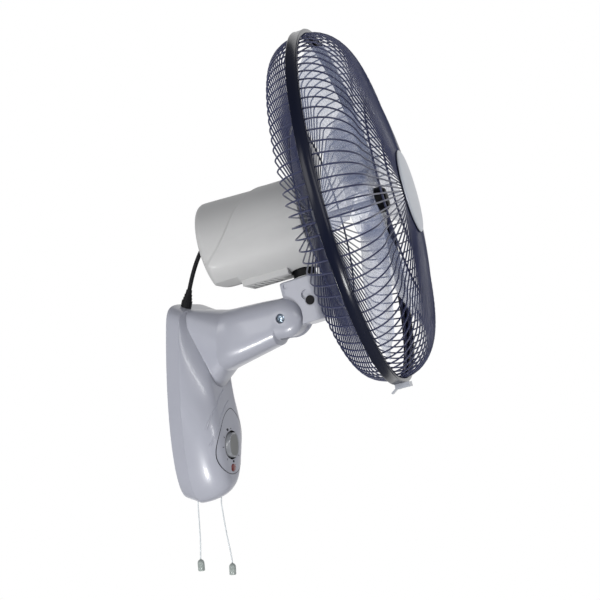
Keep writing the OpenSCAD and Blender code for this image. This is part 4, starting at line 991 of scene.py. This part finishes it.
LIP_Y, LIP_W, LIP_TOP, LIP_BACK, LIP_FRONT = -60, 52, -52, -156, -96
VENTS, VENT_W, VENT_L, VENT_PITCH, VENT_DEEP = 6, 36, 4, 7, 0.6
MOTOR_PLAY, PAN_HOLE_R, LEAD_HOLE_R, GROMMET_Y = 0.05, (PAN_SHAFT_D + 12) / 2 + 3, 6, 17
housing = housing_solid(0, True)
cut(housing, fan_block(-LIP_W / 2, LIP_W / 2, LIP_Y, LIP_TOP, LIP_BACK, LIP_FRONT), "UNION")
cut(housing, housing_solid(HOUSING_WALL, False))
cut(housing, fan_drum(MOTOR_R + MOTOR_PLAY, -HOUSING_FRONT - WEB_T - 1, -HOUSING_FRONT + 1))
rings = [[fan_point(x, y, s) for x, s in oval(0, -RING_AHEAD, PAN_HOLE_R, PAN_HOLE_R)] for y in (-50, -75)]
cut(housing, cutter(capped(rings), HOUSING))
for k in range(VENTS):
    back = LIP_BACK + VENT_L + k * VENT_PITCH
    cut(housing, fan_block(-VENT_W / 2, VENT_W / 2, LIP_Y - 1, LIP_Y + VENT_DEEP, back, back + VENT_L))
cut(housing, fan_drum(LEAD_HOLE_R, -HOUSING_BACK - 1, -HOUSING_BACK + HOUSING_WALL + 1, y=GROMMET_Y))
soften(housing, 30, even=True)
settle(housing, "head", "housing_grey", "motor_housing")


# Guards

WIRE_R = GUARD_R - WIRE_D
FRONT_TURN, REAR_TURN, HUB_RING_R, REAR_HUB_R, THIN_WIRE_R = 60, 26, 40, 44, 1.2
FRAME_S = TRIM_W / 2 - TRIM_T - WIRE_D


def front_s(r):
    return DOME_S - (DOME_S - SHOULDER_S) * (r / (WIRE_R - FRONT_TURN)) ** 2


def rear_s(r):
    return REAR_MID_S - (REAR_MID_S - REAR_S) * r / (WIRE_R - REAR_TURN)


def circle(r, s, radius):
    return tube([fan_turn(r, a, s) for a in round_turns(180)], radius, closed=True)


def guard(side, turn, shoulder, hub_r, place, bends, rows, shares):
    """Radial wires from the frame ring over a shoulder to the hub, both rings, and thin rings inside them."""
    path = [(WIRE_R - turn + turn * math.cos(t), FRAME_S + (shoulder - FRAME_S) * math.sin(t))
            for t in quarter_turns(bends)]
    path += [(r, place(r)) for r in (mix(WIRE_R - turn, hub_r, k / rows) for k in range(1, rows + 1))]
    out = [tube([fan_turn(r, a, side * s) for r, s in path], WIRE_D / 2, 6) for a in round_turns(WIRES)]
    out += [circle(GUARD_R, side * FRAME_S, WIRE_D), circle(hub_r, side * place(hub_r), WIRE_D)]
    thin = (mix(hub_r, WIRE_R - turn, share) for share in shares)
    return out + [circle(r, side * (place(r) - WIRE_D), THIN_WIRE_R) for r in thin]


shapes = guard(1, FRONT_TURN, SHOULDER_S, HUB_RING_R, front_s, 12, 7, (0.4, 0.75))
settle(make_object("front_guard_wires", *merge(shapes), NAVY), "head", "guard_navy", "front_guard")

# The rear guard's wires end on a hub of two flat rings and eight spokes
HUB_S, HUB_T, SPOKES, SPOKE_W, SPOKE_FROM, SPOKE_TO = -52, 2, 8, 8, 20, 42
hub_front = HUB_S + HUB_T
shapes = guard(-1, REAR_TURN, REAR_S, REAR_HUB_R, rear_s, 9, 4, (0.5,))
for r0, r1 in ((14.3, 22), (40, 46)):
    shapes.append(lathe(band(r0, r1, HUB_S, hub_front), closed=True))
for k in range(SPOKES):
    a = math.radians(360 / SPOKES * (k + 0.5))
    c, s = math.cos(a), math.sin(a)
    shapes.append(box(SPOKE_FROM, SPOKE_TO, -SPOKE_W / 2, SPOKE_W / 2, HUB_S, hub_front,
                      lambda r, w, h: fan_point(r * c - w * s, r * s + w * c, h)))
rear = make_object("rear_guard_wires", *merge(shapes), NAVY)
soften(rear, 50)
settle(rear, "head", "guard_navy", "rear_guard")


# Trim ring and cap

RING_IN, TRIM_LIP = GUARD_R + WIRE_D + GAP, 4.6
ring_out, half = RING_IN + TRIM_T, TRIM_W / 2
# The rim's rounded edge, by the place out from the ring and in from its rear or front face
EDGE_ROWS = [(-TRIM_LIP, 0), (-0.8, 0), (0, 0.3), (0.3, 0.9), (0.2, 1.6), (-0.15, 2.1)]
profile = [(ring_out + out, -half + along) for out, along in EDGE_ROWS]
profile += [(ring_out + out, half - along) for out, along in reversed(EDGE_ROWS)]
profile += band(ring_out - TRIM_LIP, RING_IN, half - TRIM_T, -half + TRIM_T)
ring = make_object("trim_ring_fine", *lathe(profile, 360, closed=True), RING)
soften(ring, 40)
settle(ring, "head", "ring_navy", "trim_ring")

CAP_D, CAP_T, CAP_EDGE = 103, 4, 2.2
cap_s, cap_r = front_s(HUB_RING_R) + WIRE_D, CAP_D / 2
flat_r = cap_r - CAP_T
profile = [(cap_r - 2 * CAP_T, 0), (cap_r - 1, -0.8), (cap_r, 0), (cap_r - 0.2, 0.7), (cap_r - 1, 1.3),
           (flat_r, CAP_EDGE)]
profile += [(r, mix(CAP_T, CAP_EDGE, (r / flat_r) ** 2)) for r in (42, 36, 28, 18, 8)]
rings = [[fan_turn(r, a, cap_s + s) for a in round_turns(144)] for r, s in profile]
ends = (fan_point(0, 0, s) for s in (cap_s, cap_s + CAP_T))
cap = make_object("front_cap_fine", *skin(rings, *ends), SILVER)
soften(cap, 40)
settle(cap, "head", "cap_silver", "front_cap")


# Blade

HUB_R, HUB_BACK, HUB_L, HUB_WALL, HUB_ROUND = 42, -1, 30, 3, 2
BORE_R, SLEEVE_R, ROWS, COLS = 4.05, 8, 30, 26
CHORD_ROOT, CHORD_TIP, PITCH_ROOT, PITCH_TIP, SWEEP, CAMBER, EDGE_THIN = 66, 150, 34, 20, 14, 14, 0.6


def leaf_chord(share):
    """Width of a leaf, which grows over its inner part and closes round its tip."""
    grow = math.sin(math.radians(min(share * 125, 90))) ** 1.2
    return mix(CHORD_ROOT, CHORD_TIP, grow) * max(1 - share ** 6, 0) ** 0.35


def leaf_point(start, share, u, lift):
    """Place on a leaf by the shares of its length and chord and the height above its middle."""
    r = mix(HUB_R - 2, BLADE_R, share)
    c = leaf_chord(min(share, 0.985))
    a = math.radians(SWEEP * share) + u * c / r
    pitch = math.radians(mix(PITCH_ROOT, PITCH_TIP, share))
    s = HUB_BACK + HUB_L / 2 + lift - (u * c * math.sin(pitch) + CAMBER * (0.25 - u * u))
    return fan_turn(r, start + a, s)


shapes = []
across = [j / COLS - 0.5 for j in range(COLS + 1)]
loop = [(u, BLADE_T / 2 * (1 - EDGE_THIN * abs(2 * u) ** 6)) for u in across]
loop += [(u, -lift) for u, lift in reversed(loop)]
for k in range(LEAVES):
    start = math.radians(90 + 360 * k / LEAVES)
    rings = [[leaf_point(start, i / ROWS, u, lift) for u, lift in loop] for i in range(ROWS + 1)]
    shapes.append(capped(rings))
inner, front = HUB_R - HUB_WALL, HUB_BACK + HUB_L
profile = [(BORE_R, HUB_BACK), (SLEEVE_R, HUB_BACK), (SLEEVE_R, front - HUB_WALL), (inner, front - HUB_WALL),
           (inner, HUB_BACK), (HUB_R, HUB_BACK), (HUB_R, front - HUB_ROUND), (HUB_R - 0.6, front - 0.6),
           (HUB_R - HUB_ROUND, front), (BORE_R, front)]
shapes.append(lathe(profile, closed=True))
blade = make_object("blade_fine", *merge(shapes), CLEAR)
soften(blade, 45)
settle(blade, "rotor", "clear_tint", "blade")


# Motor lead

LEAD_D, BOOT_L, GROMMET_L, LEAD_LEAN, BOOT_TURN = 5.6, 16, 27, math.radians(12), math.radians(48)
# How far the lead runs straight on at its grommet and boot
LEAD_START, LEAD_END = 24, 14
BOOT_WAY = Vector((0, math.sin(BOOT_TURN), math.cos(BOOT_TURN)))
HOUSING_MOUTH = Vector((0, GROMMET_Y, -HOUSING_BACK))
lead_from = Vector((-26, -11, BASE_H / 2 - 8))
lead_to = fan_point(*(HOUSING_MOUTH - BOOT_L / 2 * BOOT_WAY))
across = Vector((lead_to.x - lead_from.x, lead_to.y - lead_from.y, 0)).normalized()
lead_way = math.sin(LEAD_LEAN) * across + math.cos(LEAD_LEAN) * Vector((0, 0, 1))
lead_mouth = lead_from + (GROMMET_L + 1) * lead_way
boot_mouth = fan_point(*(HOUSING_MOUTH - (BOOT_L + 1) * BOOT_WAY))
knots = [lead_mouth, lead_mouth + LEAD_START * lead_way,
         boot_mouth - LEAD_END * fan_way(*BOOT_WAY), boot_mouth]


def lead_at(t):
    """Place on the lead's Bezier curve."""
    shares = ((1 - t) ** 3, 3 * t * (1 - t) ** 2, 3 * t * t * (1 - t), t ** 3)
    return sum((share * knot for share, knot in zip(shares, knots)), Vector())


# The lead in two tubes: its lower part between base and neck, its upper part between neck and head
LEAD_STEPS, LEAD_SPLIT = 44, 26
line = [lead_from + (lead_mouth - lead_from) * k / 4 for k in range(4)]
line += [lead_at(k / LEAD_STEPS) for k in range(LEAD_STEPS + 1)] + [lead_to]
parts = (("lead_low", line[:LEAD_SPLIT + 5], 4, -1, ("base", "neck")),
         ("lead_high", line[LEAD_SPLIT + 4:], 0, -2, ("neck", "head")))
for name, part, start, end, bodies in parts:
    piece = make_object(name, *tube(part, LEAD_D / 2, 16), RUBBER)
    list(bodies)
    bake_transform(piece)
    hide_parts("motor_lead")


# Light and stage

FLOOR_Z, FLOOR_SIZE, BACKDROP_FAR, BACKDROP_SIZE = -1800, 9000, 2000, 2600
LIGHT_AIM = (0, -120, 60)


def face_way(piece, place, way, axis):
    piece.location = Vector(place) * MM
    piece.rotation_mode = "QUATERNION"
    piece.rotation_quaternion = Vector(way).to_track_quat(axis, "Y")


def stage_plane(name, centre, size, normal, material):
    corners = [(x * size, y * size, 0) for x, y in SQUARE]
    piece = make_object(name, corners, [(0, 1, 2, 3)], material, smooth=False)
    face_way(piece, centre, normal, "Z")


def seen_white(tree):
    """A strength of 1 for camera, glossy and transmitted rays and 0 for the rays that light the object."""
    path = add_node(tree, "LightPath")
    total = (path, "Is Camera Ray")
    for name in ("Is Glossy Ray", "Is Transmission Ray"):
        total = clamped_sum(tree, total, (path, name))
    return total


stage_plane("floor", (0, 0, FLOOR_Z), FLOOR_SIZE, (0, 0, 1), new_material("floor", (0.86, 0.86, 0.86), 0.7))
backdrop, tree, shader = new_shader("backdrop", Base_Color=(0, 0, 0, 1), Specular_IOR_Level=0.0,
                                    Emission_Color=(1, 1, 1, 1))
link(tree, *seen_white(tree), shader, "Emission Strength")
stage_plane("backdrop", target + BACKDROP_FAR * VIEW_AHEAD, BACKDROP_SIZE, -VIEW_AHEAD, backdrop)

# Area lights, by their place, size and power
LIGHTS = [("key", (-1290, -20, -1370), (300, 300), 18), ("high", (-1700, -900, 900), (900, 900), 9),
          ("side", (-2000, 700, 100), (300, 1500), 6), ("front", (-500, -2300, 150), (260, 700), 9)]
for name, place, size, watts in LIGHTS:
    data = bpy.data.lights.new(name, "AREA")
    data.shape, data.size, data.size_y, data.energy = "RECTANGLE", size[0] * MM, size[1] * MM, watts
    light = bpy.data.objects.new(name, data)
    face_way(light, place, Vector(LIGHT_AIM) - Vector(place), "-Z")
    bpy.context.scene.collection.objects.link(light)

# The surroundings are brighter below than above
world = bpy.data.worlds.new("world")
world.use_nodes = True
tree = world.node_tree
place = add_node(tree, "TexCoord")
height = add_node(tree, "SeparateXYZ")
level = add_node(tree, "MapRange", From_Min=-0.6, From_Max=0.8, To_Min=0.92, To_Max=0.20)
sky = set_inputs(tree.nodes["Background"], Color=(0.95, 0.96, 1.0, 1))
link(tree, place, "Generated", height, "Vector")
link(tree, height, "Z", level, "Value")
link(tree, level, "Result", sky, "Strength")
bpy.context.scene.world = world
bpy.context.scene.view_settings.view_transform = "Standard"
